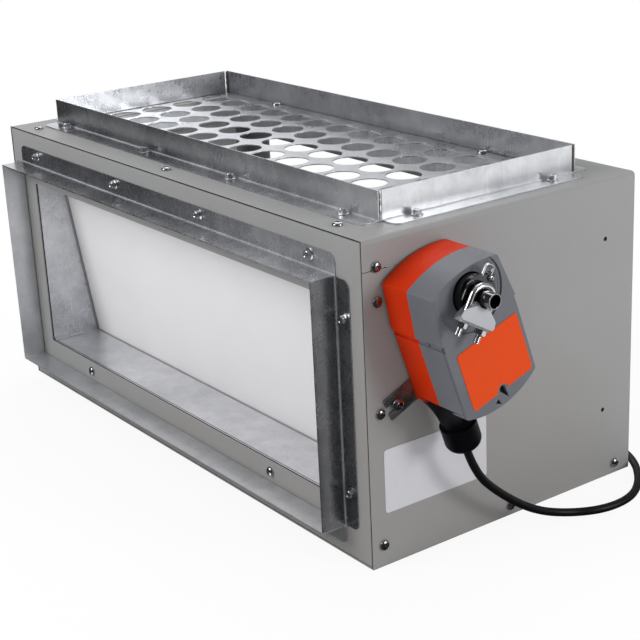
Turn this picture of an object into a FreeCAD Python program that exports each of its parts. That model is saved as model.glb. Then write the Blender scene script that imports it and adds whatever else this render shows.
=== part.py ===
import FreeCAD, Part
import functools
import math
import os

# Motorised bypass damper box. A sheet-metal casing has a duct collar on its
# front, a second collar with a perforated plate on its top, and an open
# outlet at its rear. One insulated blade hangs from a tube near the front top
# edge. It closes the front throat at rest, and the actuator on the right side
# swings it up until it closes the top throat.
# Millimetres, +Z up. The origin is the centre of the casing's bottom face,
# the front faces -Y and the actuator sits on the +X side.

# Casing
CASING_LENGTH = 600.0
CASING_DEPTH = 294.0
CASING_HEIGHT = 275.0
SHEET = 1.0
SEAM_GAP = 0.5
WRAP_BEND_RADIUS = 4.0
PANEL_BEND_RADIUS = 1.5
PANEL_FLANGE = 22.0
PAN_FLANGE_HEIGHT = 20.0
PAN_FLANGE_CLEARANCE = 2.0
SLIT_DROP = 25.0
SLIT_LENGTH = 32.0
SLIT_WIDTH = 0.8

# Side holes for hanging the casing
HANGER_HOLE_DIAMETER = 4.0
HANGER_HOLE_BACK_MARGIN = 34.4
HANGER_HOLE_LOW_Z = 65.6
HANGER_HOLE_SPACING = 156.8

# Openings, from the casing's edges and the blade's tube
OPENING_LEFT_MARGIN = 45.6
OPENING_RIGHT_MARGIN = 54.4
FRONT_OPENING_DROP = 54.0
TOP_OPENING_AHEAD = 10.0
TOP_OPENING_BACK_MARGIN = 56.4

# Lining
LINING = 12.7
LINING_CLEARANCE = 2.0

# Seats that the blade closes on
SEAT_SHEET = 1.0
SEAT_INSET = 1.0
SEAT_FLANGE = 9.0
FRONT_SEAT_ROOT = 18.0
TOP_SEAT_ROOT = 10.0
GASKET_THICKNESS = 3.0
GASKET_WIDTH = 6.5
SOFT_CLEARANCE = 0.3

# Blade and its tube
SHAFT_SETBACK = 53.0
SHAFT_DROP = 38.0
SHAFT_DIAMETER = 12.7
SHAFT_WALL = 1.2
SHAFT_END_PROUD = 7.9
SHAFT_FIT = 0.1
BLADE_LEAN = 8.0
BLADE_FRONT_OFFSET = 22.3
BLADE_THICKNESS = 31.75
BLADE_FOOT_HEIGHT = 41.0
BLADE_NOSE = 8.0
BLADE_SIDE_LAP = 7.5
BLADE_FOOT_LAP = 8.2
BLADE_BACK_LAP = 11.4
BLADE_SKIN = 0.8
BUSH_DIAMETER = 18.0
BUSH_FLANGE_DIAMETER = 28.0
BUSH_FLANGE = 3.0
BUSH_FIT = 0.2
BUSH_HOLE_FIT = 0.15

# Collars of angle strip
COLLAR_SHEET = 1.0
COLLAR_BEND = 1.2
COLLAR_FLAT = 17.0
COLLAR_CORNER = 7.0
FRONT_COLLAR_LEFT_MARGIN = 22.55
FRONT_COLLAR_RIGHT_MARGIN = 20.95
FRONT_COLLAR_MARGIN = 20.5
FRONT_COLLAR_LEG = 24.4
FRONT_COLLAR_GAP = 0.3
TOP_COLLAR_LEFT_MARGIN = 18.6
TOP_COLLAR_RIGHT_MARGIN = 22.4
TOP_COLLAR_FRONT_MARGIN = 21.0
TOP_COLLAR_BACK_MARGIN = 17.4
TOP_COLLAR_LEG = 25.0
TOP_COLLAR_GAP = 3.0

# Perforated plate
PLATE_SHEET = 1.0
PLATE_CLEARANCE = 0.4
PLATE_HOLE_DIAMETER = 31.75
PLATE_HOLE_PITCH = 38.1
PLATE_BORDER = 5.0

# Actuator, measured from the tube's centre and tilted with it
ACTUATOR_TILT = 19.0
ACTUATOR_TOP_HALF = 34.0
ACTUATOR_SHOULDER = 13.8
ACTUATOR_CROWN = 20.0
ACTUATOR_HALF = 39.3
ACTUATOR_STEP = 1.4
ACTUATOR_STEP_DROP = 25.0
NECK_HEIGHT = 5.6
NECK_DEPTH = 0.9
ACTUATOR_HEEL = 93.5
ACTUATOR_TOE = 103.5
ACTUATOR_BASE_DEPTH = 29.5
ACTUATOR_COVER_DEPTH = 30.5
ACTUATOR_SHOULDER_RADIUS = 2.5
ACTUATOR_HEEL_RADIUS = 3.0
COVER_UPPER_RIM = 1.6
COVER_LOWER_RIM = 0.8
BASE_RIM = 1.0
ACTUATOR_BORE = 16.0
CATCH_LENGTH = 16.0
CATCH_INSET = 2.5
CATCH_SLOT = 1.2
CATCH_DEPTH = 1.8
RELEASE_DEPTH = 3.0
RELEASE_RADIUS = 3.0
RELEASE_EYE = (1.8, -89.8)
RELEASE_TIP = (5.6, -100.0)
ARROW_CORNERS = [(-8.2, -97.6), (-4.6, -95.2), (-3.0, -101.2)]
DIAL_DIAMETER = 62.0
DIAL_DEPTH = 1.5
HUB_POCKET_DEPTH = 10.0
HUB_GAP = 1.0
LABEL_LEFT = -29.3
LABEL_RIGHT = 34.3
LABEL_TOP = -38.4
LABEL_BOTTOM = -91.0
LABEL_CORNER = 3.0
LABEL_THICKNESS = 0.4
LABEL_NOTCH_DIAMETER = 11.0
LABEL_NOTCH_ACROSS = 1.8

# Conduit fitting and gland nut at the actuator's lower end
FITTING_ACROSS = -27.0
FITTING_DEPTH_CENTRE = 29.0
FITTING_TOP_ACROSS = 22.0
FITTING_TOP_DEPTH = 52.0
FITTING_NECK_DIAMETER = 25.0
FITTING_TOP = 90.0
FITTING_END = 114.0
NUT_DIAMETER = 30.0
NUT_BARREL = 15.0
NUT_DOME = 9.0
NUT_MOUTH_DIAMETER = 15.0

# Hub and clamp, which turn with the blade
HUB_DIAMETER = 31.0
HUB_PROUD = 6.0
CLIP_DIAMETER = 34.0
CLIP_THICKNESS = 3.0
CLIP_LOOP_WIDTH = 10.0
CLIP_LOOP_HEIGHT = 10.3
CLIP_WIRE = 1.8
CLIP_SCREW_DIAMETER = 5.5
CLIP_SCREW_REACH = 16.2
CLIP_EAR_RADIUS = 4.8
CLIP_SCREW_HEIGHT = 2.0
CLIP_SCREW_SHANK = 2.8
CLAMP_TURN = -30.0
CLAMP_WIRE = 5.0
CLAMP_LEG_SPACING = 21.0
CLAMP_LEG_END = 33.0
CLAMP_STANDOFF = 4.0
SADDLE_DEPTH = 8.0
SADDLE_FOOT = 22.4
SADDLE_HALF_TOP = 8.0
SADDLE_HALF_FOOT = 15.5
SADDLE_RIM = 4.8
SADDLE_TOOTH = 1.6
SADDLE_TEETH = 4
CLAMP_NUT_WIDTH = 8.0
CLAMP_NUT_HEIGHT = 4.0
POINTER_THICKNESS = 1.6
POINTER_TOP_HALF = 7.3
POINTER_TOP = 7.4
POINTER_SHOULDER_HALF = 16.5
POINTER_SHOULDER = 13.5
POINTER_FOOT_HALF = 18.0
POINTER_FOOT = 20.5
POINTER_CORNER = 2.5

# Anti-rotation strap
STRAP_TURN = 24.0
STRAP_END_AHEAD = 34.1
STRAP_END_BELOW = 103.5
STRAP_LENGTH = 78.0
STRAP_WIDTH = 19.5
STRAP_THICKNESS = 2.0
STRAP_SLOT = 6.5
STRAP_SLOT_DEPTH = 13.0
STRAP_SCREW_REACH = 9.3
STRAP_SCREW_DIAMETER = 11.0
STRAP_SCREW_HEIGHT = 4.5
STRAP_SCREW_SHANK = 5.0

# Blank nameplate on the right side
NAMEPLATE_SETBACK = 14.4
NAMEPLATE_LENGTH = 107.6
NAMEPLATE_BOTTOM = 46.0
NAMEPLATE_HEIGHT = 55.0
NAMEPLATE_THICKNESS = 0.4
NAMEPLATE_CORNER = 3.0

# Screws
SCREW_SHANK_DIAMETER = 4.2
SCREW_SHANK_LENGTH = 8.0
SCREW_HOLE_FIT = 0.15
PAN_SCREW_DIAMETER = 9.0
PAN_SCREW_HEIGHT = 3.0
HEX_SCREW_WIDTH = 6.4
HEX_SCREW_HEIGHT = 3.6
HEX_WASHER_DIAMETER = 10.0
HEX_WASHER_HEIGHT = 1.0

# Screws of the sides, as pairs of distances: from the front and the top, from the front
# and the bottom, and from the rear and the bottom
SIDE_SCREWS_HIGH = [(13.0, 22.4), (13.0, 50.6), (12.4, 142.4)]
SIDE_SCREWS_LOW = [(11.6, 19.2), (149.2, 9.4)]
SIDE_SCREWS_REAR = [(18.8, 10.0)]

# Screws of the top and of the front throat
TOP_SCREW_SETBACK = 14.4
TOP_SCREW_LEFT = 38.0
TOP_SCREW_MIDDLE = -6.0
TOP_SCREW_RIGHT = 48.0
THROAT_SCREW_INSET = 87.5
THROAT_SCREW_MARGIN = 10.3

# Screws of the collars, from the standing leg, the strips' ends and the collar's middle
FRONT_COLLAR_SCREW_REACH = 10.3
FRONT_COLLAR_SCREW_LEFT = 35.75
FRONT_COLLAR_SCREW_RIGHT = 31.75
FRONT_COLLAR_SCREW_END = 33.0
FRONT_COLLAR_SCREWS_MIDDLE = [-73.0, 77.0]
TOP_COLLAR_SCREW_REACH = 7.0
TOP_COLLAR_SCREW_LEFT = 33.0
TOP_COLLAR_SCREW_RIGHT = 36.5
TOP_COLLAR_SCREW_END = 33.0
TOP_COLLAR_SCREWS_MIDDLE = [-78.3, 70.5]
PLATE_SCREW_X = [-169.0, 158.0]
PLATE_SCREW_INSET = 5.6

# Screws that fix the blade to its tube
BLADE_SCREW_DIAMETER = 8.0
BLADE_SCREW_HEIGHT = 2.2
BLADE_SCREW_END = 52.0

# Cable
CABLE_DIAMETER = 7.0
CABLE_FLOOR_Z = 3.6
CABLE_EXIT_RUN = 28.0
CABLE_ARC_SHARE = 0.45
CABLE_ROUTE = [
    (331.0, -38.0, 44.0),
    (331.5, -2.0, 17.5),
    (334.5, 34.0, CABLE_FLOOR_Z),
    (351.0, 64.0, CABLE_FLOOR_Z),
    (350.0, 99.0, CABLE_FLOOR_Z),
    (329.5, 130.0, CABLE_FLOOR_Z),
    (297.0, 157.0, CABLE_FLOOR_Z),
    (257.0, 170.0, CABLE_FLOOR_Z),
    (214.0, 165.0, CABLE_FLOOR_Z),
]
COIL_X = 170.0
COIL_Y = 205.0
COIL_DIAMETER = 76.0
COIL_TURNS = 2
TAIL_DIAMETER = 2.2
TAIL_LENGTH = 38.0
TAIL_TURN = 50.0
TAIL_COUNT = 2

# Values that follow from the ones above
FRONT_FACE = -CASING_DEPTH / 2
REAR_FACE = CASING_DEPTH / 2
RIGHT_FACE = CASING_LENGTH / 2
WALL_INSIDE = RIGHT_FACE - SHEET
SHAFT_Y = FRONT_FACE + SHAFT_SETBACK
SHAFT_Z = CASING_HEIGHT - SHAFT_DROP
SHAFT_RADIUS = SHAFT_DIAMETER / 2
LEAN = math.radians(BLADE_LEAN)
BLADE_REACH = SHAFT_Z - BLADE_FOOT_HEIGHT
BLADE_FOOT_Z = SHAFT_Z - BLADE_FRONT_OFFSET * math.sin(LEAN) - BLADE_REACH * math.cos(LEAN)
BLADE_REAR_OFFSET = BLADE_THICKNESS - BLADE_FRONT_OFFSET
OPENING_LEFT = OPENING_LEFT_MARGIN - RIGHT_FACE
OPENING_RIGHT = RIGHT_FACE - OPENING_RIGHT_MARGIN
OPENING_CENTRE_X = (OPENING_LEFT + OPENING_RIGHT) / 2
FRONT_OPENING_BOTTOM = BLADE_FOOT_Z + BLADE_FOOT_LAP
FRONT_OPENING_TOP = CASING_HEIGHT - FRONT_OPENING_DROP
TOP_OPENING_FRONT = SHAFT_Y + TOP_OPENING_AHEAD
TOP_OPENING_BACK = min(SHAFT_Y + BLADE_REACH - BLADE_BACK_LAP, REAR_FACE - TOP_OPENING_BACK_MARGIN)
BLADE_LEFT = OPENING_LEFT - BLADE_SIDE_LAP
BLADE_RIGHT = OPENING_RIGHT + BLADE_SIDE_LAP
FRONT_SEAT = BLADE_FRONT_OFFSET + SOFT_CLEARANCE + GASKET_THICKNESS
TOP_SEAT_Z = SHAFT_Z + BLADE_REAR_OFFSET + SOFT_CLEARANCE + GASKET_THICKNESS
FRONT_COLLAR_LEFT = OPENING_LEFT - FRONT_COLLAR_LEFT_MARGIN
FRONT_COLLAR_RIGHT = OPENING_RIGHT + FRONT_COLLAR_RIGHT_MARGIN
FRONT_COLLAR_BOTTOM = FRONT_OPENING_BOTTOM - FRONT_COLLAR_MARGIN
FRONT_COLLAR_WIDTH = FRONT_COLLAR_RIGHT - FRONT_COLLAR_LEFT
FRONT_COLLAR_HEIGHT = FRONT_OPENING_TOP + FRONT_COLLAR_MARGIN - FRONT_COLLAR_BOTTOM
TOP_COLLAR_LEFT = OPENING_LEFT - TOP_COLLAR_LEFT_MARGIN
TOP_COLLAR_RIGHT = OPENING_RIGHT + TOP_COLLAR_RIGHT_MARGIN
TOP_COLLAR_FRONT = TOP_OPENING_FRONT - TOP_COLLAR_FRONT_MARGIN
TOP_COLLAR_BACK = TOP_OPENING_BACK + TOP_COLLAR_BACK_MARGIN
TOP_COLLAR_WIDTH = TOP_COLLAR_RIGHT - TOP_COLLAR_LEFT
TOP_COLLAR_DEPTH = TOP_COLLAR_BACK - TOP_COLLAR_FRONT
ACTUATOR_BACK = RIGHT_FACE + STRAP_THICKNESS
ACTUATOR_SPLIT = ACTUATOR_BACK + ACTUATOR_BASE_DEPTH
ACTUATOR_FACE = ACTUATOR_SPLIT + ACTUATOR_COVER_DEPTH
DIAL_FLOOR = ACTUATOR_FACE - DIAL_DEPTH
HUB_BACK = ACTUATOR_FACE - HUB_POCKET_DEPTH
HUB_FRONT = ACTUATOR_FACE + HUB_PROUD
CLIP_FRONT = HUB_FRONT + CLIP_THICKNESS
CLAMP_X = CLIP_FRONT + CLAMP_STANDOFF
SADDLE_BACK = CLAMP_X - SADDLE_DEPTH / 2
SADDLE_FRONT = CLAMP_X + SADDLE_DEPTH / 2
SHAFT_RIGHT_END = SADDLE_FRONT + POINTER_THICKNESS + SHAFT_END_PROUD
FITTING_X = ACTUATOR_BACK + FITTING_DEPTH_CENTRE
NUT_END = FITTING_END + NUT_BARREL + NUT_DOME
OVERRUN = 5.0

X_AXIS = FreeCAD.Vector(1, 0, 0)
Y_AXIS = FreeCAD.Vector(0, 1, 0)
Z_AXIS = FreeCAD.Vector(0, 0, 1)
ORIGIN = FreeCAD.Vector(0, 0, 0)


def box(x0, x1, y0, y1, z0, z1):
    """A block between two corners."""
    return Part.makeBox(x1 - x0, y1 - y0, z1 - z0, FreeCAD.Vector(x0, y0, z0))


def rod_x(radius, x0, x1, y=0.0, z=0.0):
    """A round bar along X."""
    return Part.makeCylinder(radius, x1 - x0, FreeCAD.Vector(x0, y, z), X_AXIS)


def prism_x(wire, x0, x1):
    """A solid from a closed outline in the YZ plane, between two X places."""
    face = Part.Face(wire)
    face.translate(FreeCAD.Vector(x0, 0, 0))
    return face.extrude(FreeCAD.Vector(x1 - x0, 0, 0))


def outline_x(points):
    """A closed straight-sided outline in the YZ plane."""
    corners = [FreeCAD.Vector(0, y, z) for y, z in points]
    return Part.makePolygon(corners + corners[:1])


def filleted(shape, radius, test):
    """The shape with a radius on the edges whose middle and direction pass the test."""
    edges = []
    for edge in shape.Edges:
        if edge.Curve.TypeId == "Part::GeomLine":
            middle = edge.valueAt((edge.FirstParameter + edge.LastParameter) / 2)
            if test(middle, edge.tangentAt(edge.FirstParameter)):
                edges.append(edge)
    return shape.makeFillet(radius, edges)


def along(direction, axis):
    """True where a direction runs along an axis, either way."""
    return abs(direction.dot(axis)) > 0.999


def hung(shape):
    """Moves a shape made about the tube's centre into the blade's rest pose."""
    turned = shape.rotated(ORIGIN, X_AXIS, BLADE_LEAN)
    return turned.translated(FreeCAD.Vector(0, SHAFT_Y, SHAFT_Z))


def tilted(shape):
    """Moves a shape made about the tube's centre into the actuator's tilt."""
    turned = shape.rotated(ORIGIN, X_AXIS, ACTUATOR_TILT)
    return turned.translated(FreeCAD.Vector(0, SHAFT_Y, SHAFT_Z))


def clamped(shape):
    """Moves a shape made about the tube's centre to the clamp's place."""
    turned = shape.rotated(ORIGIN, X_AXIS, CLAMP_TURN)
    return turned.translated(FreeCAD.Vector(0, SHAFT_Y, SHAFT_Z))


def front_window(margin, y0, y1):
    """A block through the front opening, wider by a margin on each side."""
    return box(OPENING_LEFT - margin, OPENING_RIGHT + margin, y0, y1,
               FRONT_OPENING_BOTTOM - margin, FRONT_OPENING_TOP + margin)


def top_window(margin, z0, z1):
    """A block through the top opening, wider by a margin on each side."""
    return box(OPENING_LEFT - margin, OPENING_RIGHT + margin,
               TOP_OPENING_FRONT - margin, TOP_OPENING_BACK + margin, z0, z1)


# Screws and the holes they pass through


def pan_head(diameter, height):
    """A domed screw head that sits on z = 0 and faces up."""
    radius = diameter / 2
    sphere = (radius ** 2 + height ** 2) / (2 * height)
    half_turn = math.asin(radius / sphere) / 2
    base = FreeCAD.Vector(radius, 0, 0)
    middle = FreeCAD.Vector(sphere * math.sin(half_turn), 0, height - sphere + sphere * math.cos(half_turn))
    top = FreeCAD.Vector(0, 0, height)
    wire = Part.Wire([
        Part.makeLine(ORIGIN, base),
        Part.Arc(base, middle, top).toShape(),
        Part.makeLine(top, ORIGIN),
    ])
    return Part.Face(wire).revolve(ORIGIN, Z_AXIS, 360)


def shank(diameter, length):
    """A plain shank that hangs below z = 0."""
    return Part.makeCylinder(diameter / 2, length, FreeCAD.Vector(0, 0, -length))


def pan_screw():
    """A pan-head sheet-metal screw, head up."""
    return pan_head(PAN_SCREW_DIAMETER, PAN_SCREW_HEIGHT).fuse(
        shank(SCREW_SHANK_DIAMETER, SCREW_SHANK_LENGTH))


def hex_prism(width, height):
    """A hexagonal prism on the XY plane, sized across its flats."""
    radius = width / math.sqrt(3)
    corners = []
    for index in range(6):
        angle = math.radians(60 * index)
        corners.append(FreeCAD.Vector(radius * math.cos(angle), radius * math.sin(angle), 0))
    return Part.Face(Part.makePolygon(corners + corners[:1])).extrude(FreeCAD.Vector(0, 0, height))


def hex_screw():
    """A hex washer-head screw, head up."""
    washer = Part.makeCylinder(HEX_WASHER_DIAMETER / 2, HEX_WASHER_HEIGHT)
    head = hex_prism(HEX_SCREW_WIDTH, HEX_SCREW_HEIGHT).translated(FreeCAD.Vector(0, 0, HEX_WASHER_HEIGHT))
    return washer.fuse([head, shank(SCREW_SHANK_DIAMETER, SCREW_SHANK_LENGTH)])


def drill(diameter=SCREW_SHANK_DIAMETER):
    """The round space that a screw's shank needs, through whatever it joins."""
    length = SCREW_SHANK_LENGTH + 2 * OVERRUN
    radius = diameter / 2 + SCREW_HOLE_FIT
    return Part.makeCylinder(radius, length, FreeCAD.Vector(0, 0, OVERRUN - length))


def at_places(shape, places):
    """Copies of a shape at each place of a list."""
    return Part.makeCompound([shape.translated(FreeCAD.Vector(*place)) for place in places])


def facing_right(shape):
    """Turns what faces up to face +X."""
    return shape.rotated(ORIGIN, Y_AXIS, 90)


def facing_front(shape):
    """Turns what faces up to face -Y."""
    return shape.rotated(ORIGIN, X_AXIS, 90)


def facing_back(shape):
    """Turns what faces up to face +Y."""
    return shape.rotated(ORIGIN, X_AXIS, -90)


def side_places():
    """Where the right side's screws sit."""
    places = [(FRONT_FACE + setback, CASING_HEIGHT - drop) for setback, drop in SIDE_SCREWS_HIGH]
    places += [(FRONT_FACE + setback, height) for setback, height in SIDE_SCREWS_LOW]
    places += [(REAR_FACE - margin, height) for margin, height in SIDE_SCREWS_REAR]
    return [(RIGHT_FACE, y, z) for y, z in places]


def top_places():
    """Where the screws along the top's front edge sit."""
    across = [TOP_SCREW_LEFT - RIGHT_FACE, TOP_SCREW_MIDDLE, RIGHT_FACE - TOP_SCREW_RIGHT]
    return [(x, FRONT_FACE + TOP_SCREW_SETBACK, CASING_HEIGHT) for x in across]


def throat_places():
    """Where the screws that hold the front throat's shelf and head sit."""
    heights = (FRONT_OPENING_BOTTOM - THROAT_SCREW_MARGIN, FRONT_OPENING_TOP + THROAT_SCREW_MARGIN)
    across = (OPENING_LEFT + THROAT_SCREW_INSET, OPENING_RIGHT - THROAT_SCREW_INSET)
    return [(x, FRONT_FACE, z) for z in heights for x in across]


def plate_places():
    """Where the perforated plate's screws sit."""
    back = TOP_COLLAR_BACK - COLLAR_SHEET - PLATE_SCREW_INSET
    return [(x, back, CASING_HEIGHT + PLATE_SHEET) for x in PLATE_SCREW_X]


def collar_places(width, depth, long_places, short_places, reach):
    """Where the screws of a whole collar on the XY plane sit, on its flat legs."""
    places = []
    for place in long_places:
        places += [(place, depth / 2 + reach, COLLAR_SHEET), (place, -depth / 2 - reach, COLLAR_SHEET)]
    for place in short_places:
        places += [(width / 2 + reach, place, COLLAR_SHEET), (-width / 2 - reach, place, COLLAR_SHEET)]
    return places


def front_collar_places():
    """Where the front collar's screws sit, before it is laid against the front."""
    half = FRONT_COLLAR_WIDTH / 2
    end = FRONT_COLLAR_HEIGHT / 2 - FRONT_COLLAR_SCREW_END
    long_places = [FRONT_COLLAR_SCREW_LEFT - half] + FRONT_COLLAR_SCREWS_MIDDLE
    long_places.append(half - FRONT_COLLAR_SCREW_RIGHT)
    return collar_places(FRONT_COLLAR_WIDTH, FRONT_COLLAR_HEIGHT, long_places, [-end, end],
                         FRONT_COLLAR_SCREW_REACH)


def top_collar_places():
    """Where the top collar's screws sit, before it is stood on the top."""
    half = TOP_COLLAR_WIDTH / 2
    end = TOP_COLLAR_DEPTH / 2 - TOP_COLLAR_SCREW_END
    long_places = [TOP_COLLAR_SCREW_LEFT - half] + TOP_COLLAR_SCREWS_MIDDLE
    long_places.append(half - TOP_COLLAR_SCREW_RIGHT)
    return collar_places(TOP_COLLAR_WIDTH, TOP_COLLAR_DEPTH, long_places, [-end, end],
                         TOP_COLLAR_SCREW_REACH)


def blade_places():
    """Where the blade's screws sit, about the hanging blade's tube."""
    middle = (BLADE_LEFT + BLADE_RIGHT) / 2
    across = (BLADE_LEFT + BLADE_SCREW_END, middle, BLADE_RIGHT - BLADE_SCREW_END)
    return [(x, BLADE_REAR_OFFSET, 0) for x in across]


def side_screws(shape):
    """Copies of a shape that faces up, at the right side's screws."""
    return at_places(facing_right(shape), side_places())


def throat_screw_group(shape):
    """Copies of a shape that faces up, at the front throat's screws."""
    return at_places(facing_front(shape), throat_places())


def strap_screw_group(shape):
    """A shape that faces up, moved to the strap's screw."""
    return strapped(facing_right(shape).translated(FreeCAD.Vector(STRAP_THICKNESS, STRAP_SCREW_REACH, 0)))


@functools.lru_cache
def casing_holes():
    """Every space that a screw's shank needs in the casing and what hangs on it."""
    side = side_screws(drill())
    return Part.makeCompound([
        side,
        side.mirror(ORIGIN, X_AXIS),
        at_places(drill(), top_places()),
        at_places(drill(), plate_places()),
        throat_screw_group(drill()),
        on_front(at_places(drill(), front_collar_places())),
        on_top(at_places(drill(), top_collar_places())),
        strap_screw_group(drill(STRAP_SCREW_SHANK)),
    ])


def drilled(shape):
    """A sheet or slab of the casing with the holes for the screws that pass it."""
    return shape.cut(casing_holes())


def blade_drilled(shape):
    """A piece of the blade with the holes for the blade's screws."""
    return shape.cut(hung(at_places(facing_back(drill()), blade_places())))


# Casing


def top_bend(middle, direction):
    """True on the long edges where the top turns down into a side."""
    return along(direction, Y_AXIS) and middle.z > CASING_HEIGHT / 2


def cabinet_wrap():
    """Top and both sides, bent from one sheet, with the top opening."""
    outer = box(-RIGHT_FACE, RIGHT_FACE, FRONT_FACE, REAR_FACE, 0, CASING_HEIGHT)
    outer = filleted(outer, WRAP_BEND_RADIUS, top_bend)
    inner = box(-WALL_INSIDE, WALL_INSIDE, FRONT_FACE - OVERRUN, REAR_FACE + OVERRUN,
                -OVERRUN, CASING_HEIGHT - SHEET)
    inner = filleted(inner, WRAP_BEND_RADIUS - SHEET, top_bend)
    wrap = drilled(outer.cut(inner))
    holes = [top_window(0, CASING_HEIGHT / 2, CASING_HEIGHT + OVERRUN)]
    bush_hole = BUSH_DIAMETER / 2 + BUSH_HOLE_FIT
    holes.append(rod_x(bush_hole, -RIGHT_FACE - OVERRUN, RIGHT_FACE + OVERRUN, SHAFT_Y, SHAFT_Z))
    for height in (HANGER_HOLE_LOW_Z, HANGER_HOLE_LOW_Z + HANGER_HOLE_SPACING):
        holes.append(rod_x(HANGER_HOLE_DIAMETER / 2, -RIGHT_FACE - OVERRUN, RIGHT_FACE + OVERRUN,
                           REAR_FACE - HANGER_HOLE_BACK_MARGIN, height))
    slit = CASING_HEIGHT - SLIT_DROP
    holes.append(box(WALL_INSIDE - OVERRUN, RIGHT_FACE + OVERRUN, FRONT_FACE - OVERRUN,
                     FRONT_FACE + SLIT_LENGTH, slit - SLIT_WIDTH / 2, slit + SLIT_WIDTH / 2))
    return wrap.cut(holes)


def end_panel():
    """A tray that closes the front of the wrap, with its window."""
    def face_edge(middle, direction):
        return abs(middle.y - FRONT_FACE) < SHEET / 2 and not along(direction, Y_AXIS)

    side = WALL_INSIDE - SEAM_GAP
    low = SHEET + SEAM_GAP
    high = CASING_HEIGHT - SHEET - SEAM_GAP
    back = FRONT_FACE + PANEL_FLANGE
    corner = WRAP_BEND_RADIUS - SHEET - SEAM_GAP
    tray = filleted(box(-side, side, FRONT_FACE, back, low, high), corner, top_bend)
    tray = filleted(tray, PANEL_BEND_RADIUS, face_edge)
    hollow = box(-side + SHEET, side - SHEET, FRONT_FACE + SHEET, back + OVERRUN, low + SHEET, high - SHEET)
    hollow = filleted(hollow, corner - SHEET, top_bend)
    return tray.cut([hollow, front_window(0, FRONT_FACE - OVERRUN, back)])


def front_panel():
    """The front tray with the inlet opening."""
    return drilled(end_panel())


def rear_panel():
    """The rear tray, the same part turned round with its outlet opposite the inlet."""
    return drilled(end_panel().mirror(ORIGIN, Y_AXIS))


def bottom_pan():
    """The floor sheet with an upturned flange at each side."""
    side = WALL_INSIDE - SEAM_GAP
    flange_end = REAR_FACE - PANEL_FLANGE - PAN_FLANGE_CLEARANCE
    floor = box(-side, side, FRONT_FACE, REAR_FACE, 0, SHEET)
    left = box(-side, -side + SHEET, -flange_end, flange_end, 0, PAN_FLANGE_HEIGHT)
    right = box(side - SHEET, side, -flange_end, flange_end, 0, PAN_FLANGE_HEIGHT)
    return drilled(floor.fuse([left, right]).removeSplitter())


def side_lining():
    """The left foam slab, with a hole round the bush."""
    end = REAR_FACE - PANEL_FLANGE - PAN_FLANGE_CLEARANCE
    slab = box(-WALL_INSIDE, -WALL_INSIDE + LINING, -end, end, PAN_FLANGE_HEIGHT + LINING_CLEARANCE,
               CASING_HEIGHT - SHEET - WRAP_BEND_RADIUS)
    hole = rod_x(BUSH_FLANGE_DIAMETER / 2 + LINING_CLEARANCE, -RIGHT_FACE, 0, SHAFT_Y, SHAFT_Z)
    return slab.cut(hole)


def insulation_left():
    """Foam on the left wall."""
    return drilled(side_lining())


def insulation_right():
    """Foam on the right wall."""
    return drilled(side_lining().mirror(ORIGIN, X_AXIS))


def insulation_floor():
    """Foam on the floor, between the pan's flanges."""
    side = WALL_INSIDE - SEAM_GAP - SHEET
    end = REAR_FACE - PANEL_FLANGE - PAN_FLANGE_CLEARANCE
    return drilled(box(-side, side, -end, end, SHEET, SHEET + LINING))


# Seats


def front_seat_frame():
    """The front throat: walls behind the panel, and a flange in the blade's plane."""
    panel_back = FRONT_FACE + SHEET
    wall = front_window(SEAT_INSET + SEAT_SHEET, panel_back, SHAFT_Y + BLADE_REACH)
    root = front_window(SEAT_INSET + FRONT_SEAT_ROOT, panel_back, panel_back + SEAT_SHEET)
    reach = 2 * BLADE_REACH
    behind = box(-RIGHT_FACE, RIGHT_FACE, -FRONT_SEAT, reach, -reach, reach)
    slab = box(-RIGHT_FACE, RIGHT_FACE, -FRONT_SEAT - SEAT_SHEET, -FRONT_SEAT, -reach, reach)
    flange = front_window(SEAT_INSET + SEAT_FLANGE, panel_back, SHAFT_Y + BLADE_REACH).common(hung(slab))
    frame = wall.cut(hung(behind)).fuse([root, flange])
    bore = front_window(SEAT_INSET, panel_back - OVERRUN, REAR_FACE)
    return drilled(frame.cut(bore).removeSplitter())


def front_seat_slice(x0, x1, z0, z1):
    """One strip of the front throat."""
    return front_seat_frame().common(box(x0, x1, FRONT_FACE, REAR_FACE, z0, z1))


def front_seat_shelf():
    """The throat's bottom strip, as wide as its flanges."""
    return front_seat_slice(-RIGHT_FACE, RIGHT_FACE, 0, FRONT_OPENING_BOTTOM - SEAT_INSET)


def front_seat_head():
    """The throat's top strip."""
    return front_seat_slice(-RIGHT_FACE, RIGHT_FACE, FRONT_OPENING_TOP + SEAT_INSET, CASING_HEIGHT)


def front_seat_cheek_left():
    """The throat's left strip, between the shelf and the head."""
    return front_seat_slice(-RIGHT_FACE, OPENING_CENTRE_X, FRONT_OPENING_BOTTOM - SEAT_INSET,
                            FRONT_OPENING_TOP + SEAT_INSET)


def front_seat_cheek_right():
    """The throat's right strip."""
    return front_seat_slice(OPENING_CENTRE_X, RIGHT_FACE, FRONT_OPENING_BOTTOM - SEAT_INSET,
                            FRONT_OPENING_TOP + SEAT_INSET)


def front_gasket():
    """Foam ring on the front seat's flange, in the plane of the hanging blade."""
    slab = box(-RIGHT_FACE, RIGHT_FACE, -FRONT_SEAT, -FRONT_SEAT + GASKET_THICKNESS,
               -2 * BLADE_REACH, 2 * BLADE_REACH)
    ring = front_window(SEAT_INSET + GASKET_WIDTH, FRONT_FACE, SHAFT_Y + BLADE_REACH)
    ring = ring.cut(front_window(SEAT_INSET, FRONT_FACE - OVERRUN, REAR_FACE))
    return ring.common(hung(slab))


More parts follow.
